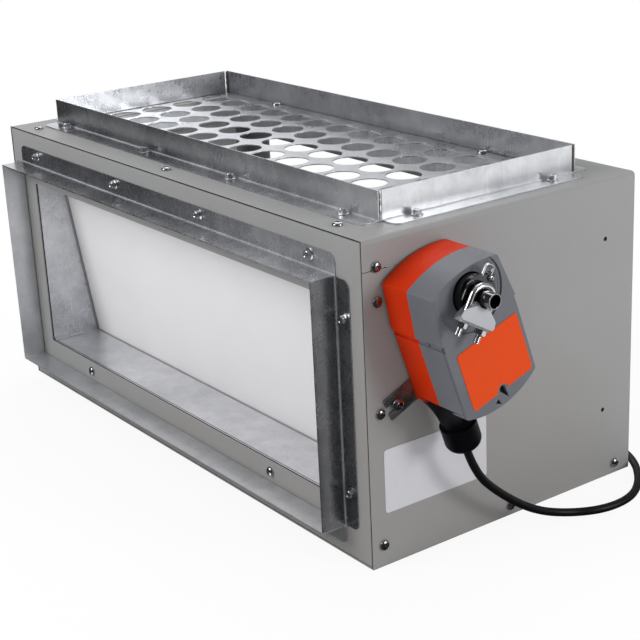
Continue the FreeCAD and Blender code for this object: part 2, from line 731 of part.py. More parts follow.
def top_seat_plan(lap, inner_lap, z0, z1):
    """A frame round the top opening. Its front side laps inward, clear of the turning nose."""
    outer = box(OPENING_LEFT - SEAT_SHEET - lap, OPENING_RIGHT + SEAT_SHEET + lap,
                TOP_OPENING_FRONT - SEAT_SHEET, TOP_OPENING_BACK + SEAT_SHEET + lap, z0, z1)
    inner = box(OPENING_LEFT, OPENING_RIGHT, TOP_OPENING_FRONT + inner_lap, TOP_OPENING_BACK,
                z0 - OVERRUN, z1 + OVERRUN)
    return outer.cut(inner)


def top_seat_frame():
    """The top throat: walls under the top sheet, and a flange over the raised blade."""
    ceiling = CASING_HEIGHT - SHEET
    walls = top_seat_plan(0, 0, TOP_SEAT_Z, ceiling)
    flange = top_seat_plan(SEAT_FLANGE, SEAT_FLANGE, TOP_SEAT_Z, TOP_SEAT_Z + SEAT_SHEET)
    root = top_window(TOP_SEAT_ROOT, ceiling - SEAT_SHEET, ceiling).cut(
        top_window(0, TOP_SEAT_Z, CASING_HEIGHT))
    return drilled(walls.fuse([flange, root]).removeSplitter())


def top_seat_slice(x0, x1, y0, y1):
    """One strip of the top throat."""
    return top_seat_frame().common(box(x0, x1, y0, y1, 0, CASING_HEIGHT))


def top_seat_front():
    """The throat's front strip, whose flange turns inward."""
    return top_seat_slice(-RIGHT_FACE, RIGHT_FACE, FRONT_FACE, TOP_OPENING_FRONT + SEAT_FLANGE)


def top_seat_back():
    """The throat's back strip."""
    return top_seat_slice(-RIGHT_FACE, RIGHT_FACE, TOP_OPENING_BACK, REAR_FACE)


def top_seat_left():
    """The throat's left strip, between front and back."""
    return top_seat_slice(-RIGHT_FACE, OPENING_CENTRE_X, TOP_OPENING_FRONT + SEAT_FLANGE, TOP_OPENING_BACK)


def top_seat_right():
    """The throat's right strip."""
    return top_seat_slice(OPENING_CENTRE_X, RIGHT_FACE, TOP_OPENING_FRONT + SEAT_FLANGE, TOP_OPENING_BACK)


def top_gasket():
    """Foam ring under the top seat's flange."""
    return top_seat_plan(GASKET_WIDTH - SEAT_SHEET, GASKET_WIDTH - SEAT_SHEET,
                         TOP_SEAT_Z - GASKET_THICKNESS, TOP_SEAT_Z)


# Collars


def angle_strip(length, leg):
    """A bent angle strip along X: its standing leg's outer face lies on y = 0."""
    sheet = COLLAR_SHEET
    bend = COLLAR_BEND
    arc = math.sqrt(0.5)
    centre_y = bend
    centre_z = sheet + bend
    inside = FreeCAD.Vector(0, centre_y - bend * arc, centre_z - bend * arc)
    outside = FreeCAD.Vector(0, centre_y - (bend + sheet) * arc, centre_z - (bend + sheet) * arc)
    flat_low = FreeCAD.Vector(0, COLLAR_FLAT, 0)
    flat_high = FreeCAD.Vector(0, COLLAR_FLAT, sheet)
    inner_flat = FreeCAD.Vector(0, bend, sheet)
    inner_leg = FreeCAD.Vector(0, 0, centre_z)
    leg_front = FreeCAD.Vector(0, 0, leg)
    leg_back = FreeCAD.Vector(0, -sheet, leg)
    outer_leg = FreeCAD.Vector(0, -sheet, centre_z)
    outer_flat = FreeCAD.Vector(0, bend, 0)
    wire = Part.Wire([
        Part.makeLine(flat_low, flat_high),
        Part.makeLine(flat_high, inner_flat),
        Part.Arc(inner_flat, inside, inner_leg).toShape(),
        Part.makeLine(inner_leg, leg_front),
        Part.makeLine(leg_front, leg_back),
        Part.makeLine(leg_back, outer_leg),
        Part.Arc(outer_leg, outside, outer_flat).toShape(),
        Part.makeLine(outer_flat, flat_low),
    ])

    def flat_corner(middle, direction):
        return along(direction, Z_AXIS) and middle.y > COLLAR_FLAT - SHEET

    return filleted(prism_x(wire, -length / 2, length / 2), COLLAR_CORNER, flat_corner)


def collar_side(width, depth, leg, gap, side):
    """One strip of a collar that stands on the XY plane, centred on the origin."""
    turn = {"back": 0, "left": 90, "front": 180, "right": 270}[side]
    if side in ("back", "front"):
        strip = angle_strip(width, leg).translated(FreeCAD.Vector(0, depth / 2, 0))
    else:
        length = depth - 2 * (COLLAR_SHEET + gap)
        strip = angle_strip(length, leg).translated(FreeCAD.Vector(0, width / 2, 0))
    return strip.rotated(ORIGIN, Z_AXIS, turn)


def on_front(shape):
    """Lays a collar made on the XY plane against the casing's front."""
    across = (FRONT_COLLAR_LEFT + FRONT_COLLAR_RIGHT) / 2
    middle = FRONT_COLLAR_BOTTOM + FRONT_COLLAR_HEIGHT / 2
    return facing_front(shape).translated(FreeCAD.Vector(across, FRONT_FACE, middle))


def on_top(shape):
    """Stands a collar made on the XY plane on the casing's top."""
    across = (TOP_COLLAR_LEFT + TOP_COLLAR_RIGHT) / 2
    middle = (TOP_COLLAR_FRONT + TOP_COLLAR_BACK) / 2
    return shape.translated(FreeCAD.Vector(across, middle, CASING_HEIGHT))


def front_collar(side):
    """One strip of the front collar."""
    strip = collar_side(FRONT_COLLAR_WIDTH, FRONT_COLLAR_HEIGHT, FRONT_COLLAR_LEG, FRONT_COLLAR_GAP, side)
    return drilled(on_front(strip))


def top_collar(side):
    """One strip of the top collar."""
    strip = collar_side(TOP_COLLAR_WIDTH, TOP_COLLAR_DEPTH, TOP_COLLAR_LEG, TOP_COLLAR_GAP, side)
    return drilled(on_top(strip))


def hole_count(span):
    """How many holes of the plate's pattern fit across a span."""
    return int((span - 2 * PLATE_BORDER - PLATE_HOLE_DIAMETER) / PLATE_HOLE_PITCH) + 1


def perforated_plate():
    """The plate inside the top collar, with a square pattern of round holes."""
    half_x = TOP_COLLAR_WIDTH / 2 - COLLAR_SHEET - PLATE_CLEARANCE
    half_y = TOP_COLLAR_DEPTH / 2 - COLLAR_SHEET - PLATE_CLEARANCE
    corners = [(-half_x, -half_y), (half_x, -half_y), (half_x, half_y), (-half_x, half_y)]
    corners = [FreeCAD.Vector(x, y, 0) for x, y in corners]
    wires = [Part.makePolygon(corners + corners[:1])]
    columns = hole_count(2 * half_x)
    rows = hole_count(2 * half_y)
    for column in range(columns):
        for row in range(rows):
            x = (column - (columns - 1) / 2) * PLATE_HOLE_PITCH
            y = (row - (rows - 1) / 2) * PLATE_HOLE_PITCH
            wires.append(Part.Wire(Part.makeCircle(PLATE_HOLE_DIAMETER / 2, FreeCAD.Vector(x, y, 0))))
    face = Part.makeFace(wires, "Part::FaceMakerBullseye")
    return drilled(on_top(face.extrude(FreeCAD.Vector(0, 0, PLATE_SHEET))))


# Blade


def blade_profile(inset):
    """The blade's section about the tube: flat faces, and a nose that turns about the tube."""
    front = -BLADE_FRONT_OFFSET + inset
    rear = BLADE_REAR_OFFSET - inset
    foot = -BLADE_REACH + inset
    top = BLADE_NOSE - inset
    radius = BLADE_FRONT_OFFSET - inset
    nose_y = -math.sqrt(radius * radius - top * top)
    half_turn = math.asin(top / radius) / 2
    on_arc = FreeCAD.Vector(0, -radius * math.cos(half_turn), radius * math.sin(half_turn))
    nose_start = FreeCAD.Vector(0, front, 0)
    nose_end = FreeCAD.Vector(0, nose_y, top)
    rear_top = FreeCAD.Vector(0, rear, top)
    rear_foot = FreeCAD.Vector(0, rear, foot)
    front_foot = FreeCAD.Vector(0, front, foot)
    return Part.Wire([
        Part.makeLine(front_foot, nose_start),
        Part.Arc(nose_start, on_arc, nose_end).toShape(),
        Part.makeLine(nose_end, rear_top),
        Part.makeLine(rear_top, rear_foot),
        Part.makeLine(rear_foot, front_foot),
    ])


def blade_rear_plate():
    """The space of the rear skin."""
    return box(BLADE_LEFT, BLADE_RIGHT, BLADE_REAR_OFFSET - BLADE_SKIN, BLADE_REAR_OFFSET,
               -BLADE_REACH, BLADE_NOSE)


def blade_bore():
    """The space of the tube through the blade."""
    return rod_x(SHAFT_RADIUS + SHAFT_FIT, BLADE_LEFT - OVERRUN, BLADE_RIGHT + OVERRUN)


def blade_front_skin():
    """The tray of the blade: front face, nose, foot and ends."""
    outer = prism_x(blade_profile(0), BLADE_LEFT, BLADE_RIGHT)
    inner = prism_x(blade_profile(BLADE_SKIN), BLADE_LEFT + BLADE_SKIN, BLADE_RIGHT - BLADE_SKIN)
    return hung(outer.cut([inner, blade_rear_plate(), blade_bore()]))


def blade_core():
    """The foam inside the blade."""
    inner = prism_x(blade_profile(BLADE_SKIN), BLADE_LEFT + BLADE_SKIN, BLADE_RIGHT - BLADE_SKIN)
    return blade_drilled(hung(inner.cut([blade_rear_plate(), blade_bore()])))


def blade_rear_skin():
    """The flat sheet that closes the blade."""
    return blade_drilled(hung(blade_rear_plate()))


def blade_screws():
    """The screws through the rear skin into the tube, which make the blade turn with it."""
    screw = pan_head(BLADE_SCREW_DIAMETER, BLADE_SCREW_HEIGHT).fuse(
        shank(SCREW_SHANK_DIAMETER, SCREW_SHANK_LENGTH))
    return hung(at_places(facing_back(screw), blade_places()))


def blade_shaft():
    """The tube, from the left bush to its open end in the clamp."""
    outer = rod_x(SHAFT_RADIUS, -RIGHT_FACE, SHAFT_RIGHT_END, SHAFT_Y, SHAFT_Z)
    inner = rod_x(SHAFT_RADIUS - SHAFT_WALL, -RIGHT_FACE - OVERRUN, SHAFT_RIGHT_END + OVERRUN,
                  SHAFT_Y, SHAFT_Z)
    return blade_drilled(outer.cut(inner))


def shaft_bush():
    """The right bush, flanged inside the wall."""
    barrel = rod_x(BUSH_DIAMETER / 2, WALL_INSIDE - BUSH_FLANGE, RIGHT_FACE, SHAFT_Y, SHAFT_Z)
    flange = rod_x(BUSH_FLANGE_DIAMETER / 2, WALL_INSIDE - BUSH_FLANGE, WALL_INSIDE, SHAFT_Y, SHAFT_Z)
    bore = rod_x(SHAFT_RADIUS + BUSH_FIT, 0, 2 * RIGHT_FACE, SHAFT_Y, SHAFT_Z)
    return barrel.fuse(flange).cut(bore)


def shaft_bush_right():
    """Bush in the right wall, behind the actuator."""
    return shaft_bush()


def shaft_bush_left():
    """Bush in the left wall."""
    return shaft_bush().mirror(ORIGIN, X_AXIS)


# Actuator


def upper_outline():
    """The housing's upper part: an arched crown and tapered sides, down to the step."""
    corners = [(ACTUATOR_TOP_HALF, ACTUATOR_SHOULDER), (ACTUATOR_HALF, -ACTUATOR_STEP_DROP)]
    right = [FreeCAD.Vector(0, y, z) for y, z in corners]
    left = [FreeCAD.Vector(0, -y, z) for y, z in corners]
    crown = FreeCAD.Vector(0, 0, ACTUATOR_CROWN)
    return Part.Wire([
        Part.Arc(left[0], crown, right[0]).toShape(),
        Part.makeLine(right[0], right[1]),
        Part.makeLine(right[1], left[1]),
        Part.makeLine(left[1], left[0]),
    ])


def lower_outline():
    """The housing's lower part: parallel sides, a step narrower, and a rounded toe."""
    half = ACTUATOR_HALF - ACTUATOR_STEP
    corners = [(half, -ACTUATOR_STEP_DROP), (half, -ACTUATOR_HEEL)]
    right = [FreeCAD.Vector(0, y, z) for y, z in corners]
    left = [FreeCAD.Vector(0, -y, z) for y, z in corners]
    toe = FreeCAD.Vector(0, 0, -ACTUATOR_TOE)
    return Part.Wire([
        Part.makeLine(left[0], right[0]),
        Part.makeLine(right[0], right[1]),
        Part.Arc(right[1], toe, left[1]).toShape(),
        Part.makeLine(left[1], left[0]),
    ])


def housing_part(outline, x0, x1, corner, rim_x, rim):
    """A prism of the housing with rounded corners along X and a rounded rim at one end."""
    def long_edge(middle, direction):
        return along(direction, X_AXIS) and abs(middle.z + ACTUATOR_STEP_DROP) > SHEET

    body = filleted(prism_x(outline, x0, x1), corner, long_edge)
    edges = []
    for edge in body.Edges:
        extent = edge.BoundBox
        at_step = abs(extent.ZMin + ACTUATOR_STEP_DROP) + abs(extent.ZMax + ACTUATOR_STEP_DROP) < SHEET
        if abs(extent.XMin - rim_x) + abs(extent.XMax - rim_x) < SHEET and not at_step:
            edges.append(edge)
    return body.makeFillet(rim, edges)


def neck_cuts(x0, x1):
    """The shallow neck under the step, on both sides."""
    half = ACTUATOR_HALF - ACTUATOR_STEP - NECK_DEPTH
    bottom = -ACTUATOR_STEP_DROP - NECK_HEIGHT
    right = box(x0, x1, half, ACTUATOR_HALF, bottom, -ACTUATOR_STEP_DROP)
    return [right, right.mirror(ORIGIN, Y_AXIS)]


def housing_half(x0, x1, rim_x, upper_rim, lower_rim):
    """The upper and lower parts of one half of the housing as one moulding."""
    upper = housing_part(upper_outline(), x0, x1, ACTUATOR_SHOULDER_RADIUS, rim_x, upper_rim)
    lower = housing_part(lower_outline(), x0, x1, ACTUATOR_HEEL_RADIUS, rim_x, lower_rim)
    return upper.fuse(lower).removeSplitter().cut(neck_cuts(x0, x1))


def actuator_base():
    """The rear half of the housing, bored for the tube."""
    body = housing_half(ACTUATOR_BACK, ACTUATOR_SPLIT, ACTUATOR_BACK, BASE_RIM, BASE_RIM)
    return tilted(body.cut(rod_x(ACTUATOR_BORE / 2, RIGHT_FACE, ACTUATOR_SPLIT + OVERRUN)))


def catch_slots():
    """The L-shaped slots round the two snap catches at the cover's step."""
    x1 = ACTUATOR_FACE - CATCH_INSET
    x0 = x1 - CATCH_LENGTH
    top = -ACTUATOR_STEP_DROP + CATCH_SLOT / 2
    inside = ACTUATOR_HALF - ACTUATOR_STEP - CATCH_DEPTH
    outside = ACTUATOR_HALF + OVERRUN
    slots = []
    for low, high in ((inside, outside), (-outside, -inside)):
        slots.append(box(x0, x1, low, high, top - CATCH_SLOT, top))
        slots.append(box(x0, x0 + CATCH_SLOT, low, high, -ACTUATOR_STEP_DROP - NECK_HEIGHT, top))
    return slots


def release_recess():
    """The drop-shaped recess and the small arrow under the label."""
    x0 = ACTUATOR_FACE - RELEASE_DEPTH
    x1 = ACTUATOR_FACE + OVERRUN
    eye = FreeCAD.Vector(0, *RELEASE_EYE)
    tip = FreeCAD.Vector(0, *RELEASE_TIP)
    reach = tip - eye
    across = X_AXIS.cross(reach).normalize() * RELEASE_RADIUS
    wedge = prism_x(outline_x([(p.y, p.z) for p in (eye + across, tip, eye - across)]), x0, x1)
    drop = rod_x(RELEASE_RADIUS, x0, x1, *RELEASE_EYE).fuse(wedge)
    return [drop, prism_x(outline_x(ARROW_CORNERS), x0, x1)]


def actuator_cover():
    """The front half, with a dial dished round the hub's pocket."""
    body = housing_half(ACTUATOR_SPLIT, ACTUATOR_FACE, ACTUATOR_FACE, COVER_UPPER_RIM, COVER_LOWER_RIM)
    dial = rod_x(DIAL_DIAMETER / 2, DIAL_FLOOR, ACTUATOR_FACE + OVERRUN)
    pocket = rod_x(HUB_DIAMETER / 2 + HUB_GAP, HUB_BACK - HUB_GAP, ACTUATOR_FACE + OVERRUN)
    bore = rod_x(ACTUATOR_BORE / 2, RIGHT_FACE, ACTUATOR_FACE + OVERRUN)
    return tilted(body.cut([dial, pocket, bore] + catch_slots() + release_recess()))


def rounded_plate(y0, y1, z0, z1, corner, x0, thickness):
    """A thin plate facing +X, with rounded corners."""
    plate = box(x0, x0 + thickness, y0, y1, z0, z1)
    return filleted(plate, corner, lambda middle, direction: along(direction, X_AXIS))


def actuator_label():
    """The blank label, notched at its lower edge."""
    plate = rounded_plate(LABEL_LEFT, LABEL_RIGHT, LABEL_BOTTOM, LABEL_TOP, LABEL_CORNER,
                          ACTUATOR_FACE, LABEL_THICKNESS)
    notch = rod_x(LABEL_NOTCH_DIAMETER / 2, ACTUATOR_SPLIT, ACTUATOR_FACE + OVERRUN,
                  LABEL_NOTCH_ACROSS, LABEL_BOTTOM)
    dial = rod_x(DIAL_DIAMETER / 2, ACTUATOR_SPLIT, ACTUATOR_FACE + OVERRUN)
    return tilted(plate.cut([notch, dial]))


def conduit_fitting():
    """The black boot under the actuator: flat where it meets the housing, round at the nut."""
    x0 = FITTING_X - FITTING_TOP_DEPTH / 2
    x1 = FITTING_X + FITTING_TOP_DEPTH / 2
    y0 = FITTING_ACROSS - FITTING_TOP_ACROSS / 2
    y1 = FITTING_ACROSS + FITTING_TOP_ACROSS / 2
    corners = [FreeCAD.Vector(x, y, -FITTING_TOP) for x, y in [(x0, y0), (x1, y0), (x1, y1), (x0, y1)]]
    top = Part.makePolygon(corners + corners[:1])
    neck_centre = FreeCAD.Vector(FITTING_X, FITTING_ACROSS, -FITTING_END)
    neck = Part.Wire(Part.makeCircle(FITTING_NECK_DIAMETER / 2, neck_centre))
    boot = Part.makeLoft([top, neck], True, True)
    return tilted(boot.cut(housing_half(ACTUATOR_BACK, ACTUATOR_FACE, ACTUATOR_BACK, BASE_RIM, BASE_RIM)))


def gland_nut():
    """The round gland nut, domed towards the cable."""
    radius = NUT_DIAMETER / 2
    mouth = NUT_MOUTH_DIAMETER / 2
    barrel_end = -FITTING_END - NUT_BARREL
    slant = math.sqrt(0.5)
    corner = FreeCAD.Vector(radius, 0, barrel_end)
    shoulder = FreeCAD.Vector(mouth + (radius - mouth) * slant, 0, barrel_end - NUT_DOME * slant)
    mouth_edge = FreeCAD.Vector(mouth, 0, -NUT_END)
    top_edge = FreeCAD.Vector(radius, 0, -FITTING_END)
    top_centre = FreeCAD.Vector(0, 0, -FITTING_END)
    end_centre = FreeCAD.Vector(0, 0, -NUT_END)
    wire = Part.Wire([
        Part.makeLine(top_centre, top_edge),
        Part.makeLine(top_edge, corner),
        Part.Arc(corner, shoulder, mouth_edge).toShape(),
        Part.makeLine(mouth_edge, end_centre),
        Part.makeLine(end_centre, top_centre),
    ])
    nut = Part.Face(wire).revolve(ORIGIN, Z_AXIS, 360)
    return tilted(nut.translated(FreeCAD.Vector(FITTING_X, FITTING_ACROSS, 0)))


# Hub and clamp


def actuator_hub():
    """The hub that carries the tube through the cover."""
    hub = rod_x(HUB_DIAMETER / 2, HUB_BACK, HUB_FRONT)
    return clamped(hub.cut(rod_x(SHAFT_RADIUS + SHAFT_FIT, HUB_BACK - OVERRUN, HUB_FRONT + OVERRUN)))


def hub_clip():
    """The retaining ring on the hub, with its screw's ear and its wire loop at the top."""
    ear = rod_x(CLIP_EAR_RADIUS, HUB_FRONT, CLIP_FRONT, *clip_screw_place())
    ring = rod_x(CLIP_DIAMETER / 2, HUB_FRONT, CLIP_FRONT).fuse(ear)
    ring = ring.cut(rod_x(SHAFT_RADIUS + SHAFT_FIT, HUB_FRONT - OVERRUN, CLIP_FRONT + OVERRUN))
    loop_back = CLIP_FRONT - CLIP_WIRE
    foot = CLIP_DIAMETER / 2 - CLIP_WIRE
    outer = box(loop_back, CLIP_FRONT, -CLIP_LOOP_WIDTH / 2, CLIP_LOOP_WIDTH / 2, foot,
                foot + CLIP_LOOP_HEIGHT)
    outer = filleted(outer, CLIP_LOOP_WIDTH / 4,
                     lambda middle, direction: along(direction, X_AXIS) and middle.z > foot + CLIP_WIRE)
    window = box(loop_back - OVERRUN, CLIP_FRONT + OVERRUN, CLIP_WIRE - CLIP_LOOP_WIDTH / 2,
                 CLIP_LOOP_WIDTH / 2 - CLIP_WIRE, CLIP_DIAMETER / 2, foot + CLIP_LOOP_HEIGHT - CLIP_WIRE)
    clip = clamped(ring.fuse(outer.cut(window)))
    return clip.cut(at_clip_screw(drill(CLIP_SCREW_SHANK)))


def clip_screw_place():
    """The place of the retaining ring's screw: across and up from the tube."""
    turn = math.radians(-CLAMP_TURN / 2)
    return CLIP_SCREW_REACH * math.sin(turn), CLIP_SCREW_REACH * math.cos(turn)


def at_clip_screw(shape):
    """Moves a shape that faces up to the retaining ring's screw."""
    across, up = clip_screw_place()
    return clamped(facing_right(shape).translated(FreeCAD.Vector(CLIP_FRONT, across, up)))


def clip_screw():
    """The small round-head screw on the retaining ring."""
    head = pan_head(CLIP_SCREW_DIAMETER, CLIP_SCREW_HEIGHT)
    return at_clip_screw(head.fuse(shank(CLIP_SCREW_SHANK, CLIP_THICKNESS)))


def clamp_saddle():
    """The bridge under the tube, toothed where it bites and bored for the U-bolt's legs."""
    step = SHAFT_RADIUS * math.sqrt(2) / SADDLE_TEETH
    teeth = []
    for index in range(SADDLE_TEETH + 1):
        y = (index - SADDLE_TEETH / 2) * step
        valley = -SHAFT_RADIUS * math.sqrt(2) + abs(y)
        teeth.append((y, valley - SHAFT_FIT))
        if index < SADDLE_TEETH:
            teeth.append((y + step / 2, valley - SHAFT_FIT - SADDLE_TOOTH))
    top = teeth[0][1]
    outline = [(-SADDLE_HALF_TOP, top)] + teeth + [
        (SADDLE_HALF_TOP, top),
        (SADDLE_HALF_FOOT, -SADDLE_FOOT + SADDLE_RIM),
        (SADDLE_HALF_FOOT, -SADDLE_FOOT),
        (-SADDLE_HALF_FOOT, -SADDLE_FOOT),
        (-SADDLE_HALF_FOOT, -SADDLE_FOOT + SADDLE_RIM),
    ]
    bridge = prism_x(outline_x(outline), SADDLE_BACK, SADDLE_FRONT)
    legs = [leg_rod(side, CLAMP_WIRE / 2 + SHAFT_FIT, -SADDLE_FOOT - OVERRUN, 0) for side in (-1, 1)]
    return clamped(bridge.cut(legs))


def leg_rod(side, radius, z0, z1):
    """A round bar in the place of one leg of the U-bolt."""
    start = FreeCAD.Vector(CLAMP_X, side * CLAMP_LEG_SPACING / 2, z0)
    return Part.makeCylinder(radius, z1 - z0, start, Z_AXIS)


def clamp_u_bolt():
    """The U-bolt over the tube: its crown rests on the tube."""
    half = CLAMP_LEG_SPACING / 2
    crown_z = SHAFT_RADIUS + SHAFT_FIT + CLAMP_WIRE / 2 - half
    left_end = FreeCAD.Vector(CLAMP_X, -half, -CLAMP_LEG_END)
    left_top = FreeCAD.Vector(CLAMP_X, -half, crown_z)
    crown = FreeCAD.Vector(CLAMP_X, 0, crown_z + half)
    right_top = FreeCAD.Vector(CLAMP_X, half, crown_z)
    right_end = FreeCAD.Vector(CLAMP_X, half, -CLAMP_LEG_END)
    path = Part.Wire([
        Part.makeLine(left_end, left_top),
        Part.Arc(left_top, crown, right_top).toShape(),
        Part.makeLine(right_top, right_end),
    ])
    section = Part.Wire(Part.makeCircle(CLAMP_WIRE / 2, left_end, Z_AXIS))
    return clamped(path.makePipeShell([section], True, False))


def clamp_nuts():
    """The two hex nuts under the saddle."""
    nuts = []
    for side in (-1, 1):
        nut = hex_prism(CLAMP_NUT_WIDTH, CLAMP_NUT_HEIGHT)
        nut = nut.translated(FreeCAD.Vector(CLAMP_X, side * CLAMP_LEG_SPACING / 2,
                                            -SADDLE_FOOT - CLAMP_NUT_HEIGHT))
        bore = leg_rod(side, CLAMP_WIRE / 2 + SHAFT_FIT, -CLAMP_LEG_END, 0)
        nuts.append(clamped(nut.cut(bore)))
    return Part.makeCompound(nuts)


def position_plate():
    """The fan-shaped pointer in front of the saddle, under the tube."""
    half = [
        (POINTER_TOP_HALF, -POINTER_TOP),
        (POINTER_SHOULDER_HALF, -POINTER_SHOULDER),
        (POINTER_FOOT_HALF, -POINTER_FOOT),
    ]
    mirrored = [(-y, z) for y, z in reversed(half)]
    plate = prism_x(outline_x(half + mirrored), SADDLE_FRONT, SADDLE_FRONT + POINTER_THICKNESS)
    plate = filleted(plate, POINTER_CORNER,
                     lambda middle, direction: along(direction, X_AXIS) and middle.z < -POINTER_SHOULDER + SHEET)
    return clamped(plate.cut(rod_x(SHAFT_RADIUS + SHAFT_FIT, CLIP_FRONT, SHAFT_RIGHT_END)))


# Strap, nameplate and screws


def strapped(shape):
    """Moves a strap drawn along +Y from its slotted end to its place on the right side."""
    turned = shape.rotated(ORIGIN, X_AXIS, STRAP_TURN)
    return turned.translated(FreeCAD.Vector(RIGHT_FACE, SHAFT_Y - STRAP_END_AHEAD, SHAFT_Z - STRAP_END_BELOW))


def anti_rotation_strap():
    """The strap behind the actuator's lower end, slotted for its screw."""
    strap = box(0, STRAP_THICKNESS, 0, STRAP_LENGTH, -STRAP_WIDTH / 2, STRAP_WIDTH / 2)
    slot_end = rod_x(STRAP_SLOT / 2, -OVERRUN, OVERRUN, STRAP_SLOT_DEPTH - STRAP_SLOT / 2)
    slot = box(-OVERRUN, OVERRUN, -OVERRUN, STRAP_SLOT_DEPTH - STRAP_SLOT / 2,
               -STRAP_SLOT / 2, STRAP_SLOT / 2)
    return strapped(strap.cut([slot, slot_end]))


def strap_screw():
    """The screw that holds the strap, its head over the slot."""
    head = pan_head(STRAP_SCREW_DIAMETER, STRAP_SCREW_HEIGHT)
    return strap_screw_group(head.fuse(shank(STRAP_SCREW_SHANK, SCREW_SHANK_LENGTH)))


def nameplate():
    """The blank white plate under the actuator."""
    front = FRONT_FACE + NAMEPLATE_SETBACK
    return rounded_plate(front, front + NAMEPLATE_LENGTH, NAMEPLATE_BOTTOM,
                         NAMEPLATE_BOTTOM + NAMEPLATE_HEIGHT, NAMEPLATE_CORNER, RIGHT_FACE,
                         NAMEPLATE_THICKNESS)


def front_collar_screws():
    """The screws through the front collar's flat legs."""
    return on_front(at_places(hex_screw(), front_collar_places()))


def top_collar_screws():
    """The screws through the top collar's flat legs."""
    return on_top(at_places(hex_screw(), top_collar_places()))


def plate_screws():
    """The screws along the perforated plate's back edge."""
    return at_places(pan_screw(), plate_places())


def throat_screws():
    """The pan-head screws inside the front collar, above and below the opening."""
    return throat_screw_group(pan_screw())


def casing_screws_right():
    """The pan-head screws of the right side."""
    return side_screws(pan_screw())


def casing_screws_left():
    """The same screws on the left side."""
    return casing_screws_right().mirror(ORIGIN, X_AXIS)


def casing_screws_top():
    """The pan-head screws along the top's front edge."""
    return at_places(pan_screw(), top_places())


# Cable


def gland_exit(beyond):
    """The point on the gland's axis that lies a distance past the nut's mouth."""
    turn = math.radians(ACTUATOR_TILT)
    across = FITTING_ACROSS
    up = -NUT_END - beyond
    y = SHAFT_Y + across * math.cos(turn) - up * math.sin(turn)
    z = SHAFT_Z + across * math.sin(turn) + up * math.cos(turn)
    return FreeCAD.Vector(FITTING_X, y, z)


def coil_entry():
    """The point where the lead joins the outer turn of the coil."""
    outer_turn = COIL_DIAMETER / 2 + (COIL_TURNS - 1) * CABLE_DIAMETER / 2
    return FreeCAD.Vector(COIL_X, COIL_Y - outer_turn, CABLE_FLOOR_Z)


def cable_points():
    """The lead's route, from the gland to the coil."""
    free = [FreeCAD.Vector(*point) for point in CABLE_ROUTE]
    return [gland_exit(0), gland_exit(CABLE_EXIT_RUN)] + free + [coil_entry()]


def rounded_path(points):
    """Straight runs joined by tangent arcs as large as the runs allow."""
    edges = []
    last = points[0]
    length = 0.0
    for before, corner, after in zip(points, points[1:], points[2:]):
        back = (before - corner).normalize()
        ahead = (after - corner).normalize()
        cut = CABLE_ARC_SHARE * min((before - corner).Length, (after - corner).Length)
        half_turn = (math.pi - back.getAngle(ahead)) / 2
        radius = cut / math.tan(half_turn)
        start = corner + back * cut
        end = corner + ahead * cut
        inward = (back + ahead).normalize()
        middle = corner + inward * (radius / math.cos(half_turn) - radius)
        edges.append(Part.LineSegment(last, start).toShape())
        edges.append(Part.Arc(start, middle, end).toShape())
        length += (start - last).Length + 2 * half_turn * radius
        print("cable arc radius", round(radius, 1))
        last = end
    edges.append(Part.LineSegment(last, points[-1]).toShape())
    length += (points[-1] - last).Length
    return Part.Wire(edges), length


def cable_lead():
    """The lead from the gland down to the floor and round to the coil."""
    points = cable_points()
    path, length = rounded_path(points)
    section = Part.Wire(Part.makeCircle(CABLE_DIAMETER / 2, points[0], points[1] - points[0]))
    lead = path.makePipeShell([section], True, False)
    area = math.pi * CABLE_DIAMETER ** 2 / 4
    print("cable length", round(length, 1), "volume share", round(lead.Volume / (area * length), 4))
    return lead


def cable_coil():
    """The outer shape of the cable's coiled rest."""
    middle = COIL_DIAMETER / 2
    half_band = COIL_TURNS * CABLE_DIAMETER / 2
    base = FreeCAD.Vector(COIL_X, COIL_Y, CABLE_FLOOR_Z - CABLE_DIAMETER / 2)
    outer = Part.makeCylinder(middle + half_band, CABLE_DIAMETER, base)
    return outer.cut(Part.makeCylinder(middle - half_band, CABLE_DIAMETER, base))


def cable_tails():
    """The two bare conductors at the cable's end, inside the coil."""
    ring = COIL_DIAMETER / 2 - COIL_TURNS * CABLE_DIAMETER / 2
    turn = math.radians(TAIL_TURN)
    heading = FreeCAD.Vector(-math.cos(turn), math.sin(turn), 0)
    tails = []
    for index in range(TAIL_COUNT):
        side = (index - (TAIL_COUNT - 1) / 2) * (TAIL_DIAMETER + SOFT_CLEARANCE)
        start = FreeCAD.Vector(COIL_X, COIL_Y - ring - CABLE_DIAMETER / 2 + side, CABLE_FLOOR_Z)
        tails.append(Part.makeCylinder(TAIL_DIAMETER / 2, TAIL_LENGTH, start, heading).cut(cable_coil()))
    return Part.makeCompound(tails)


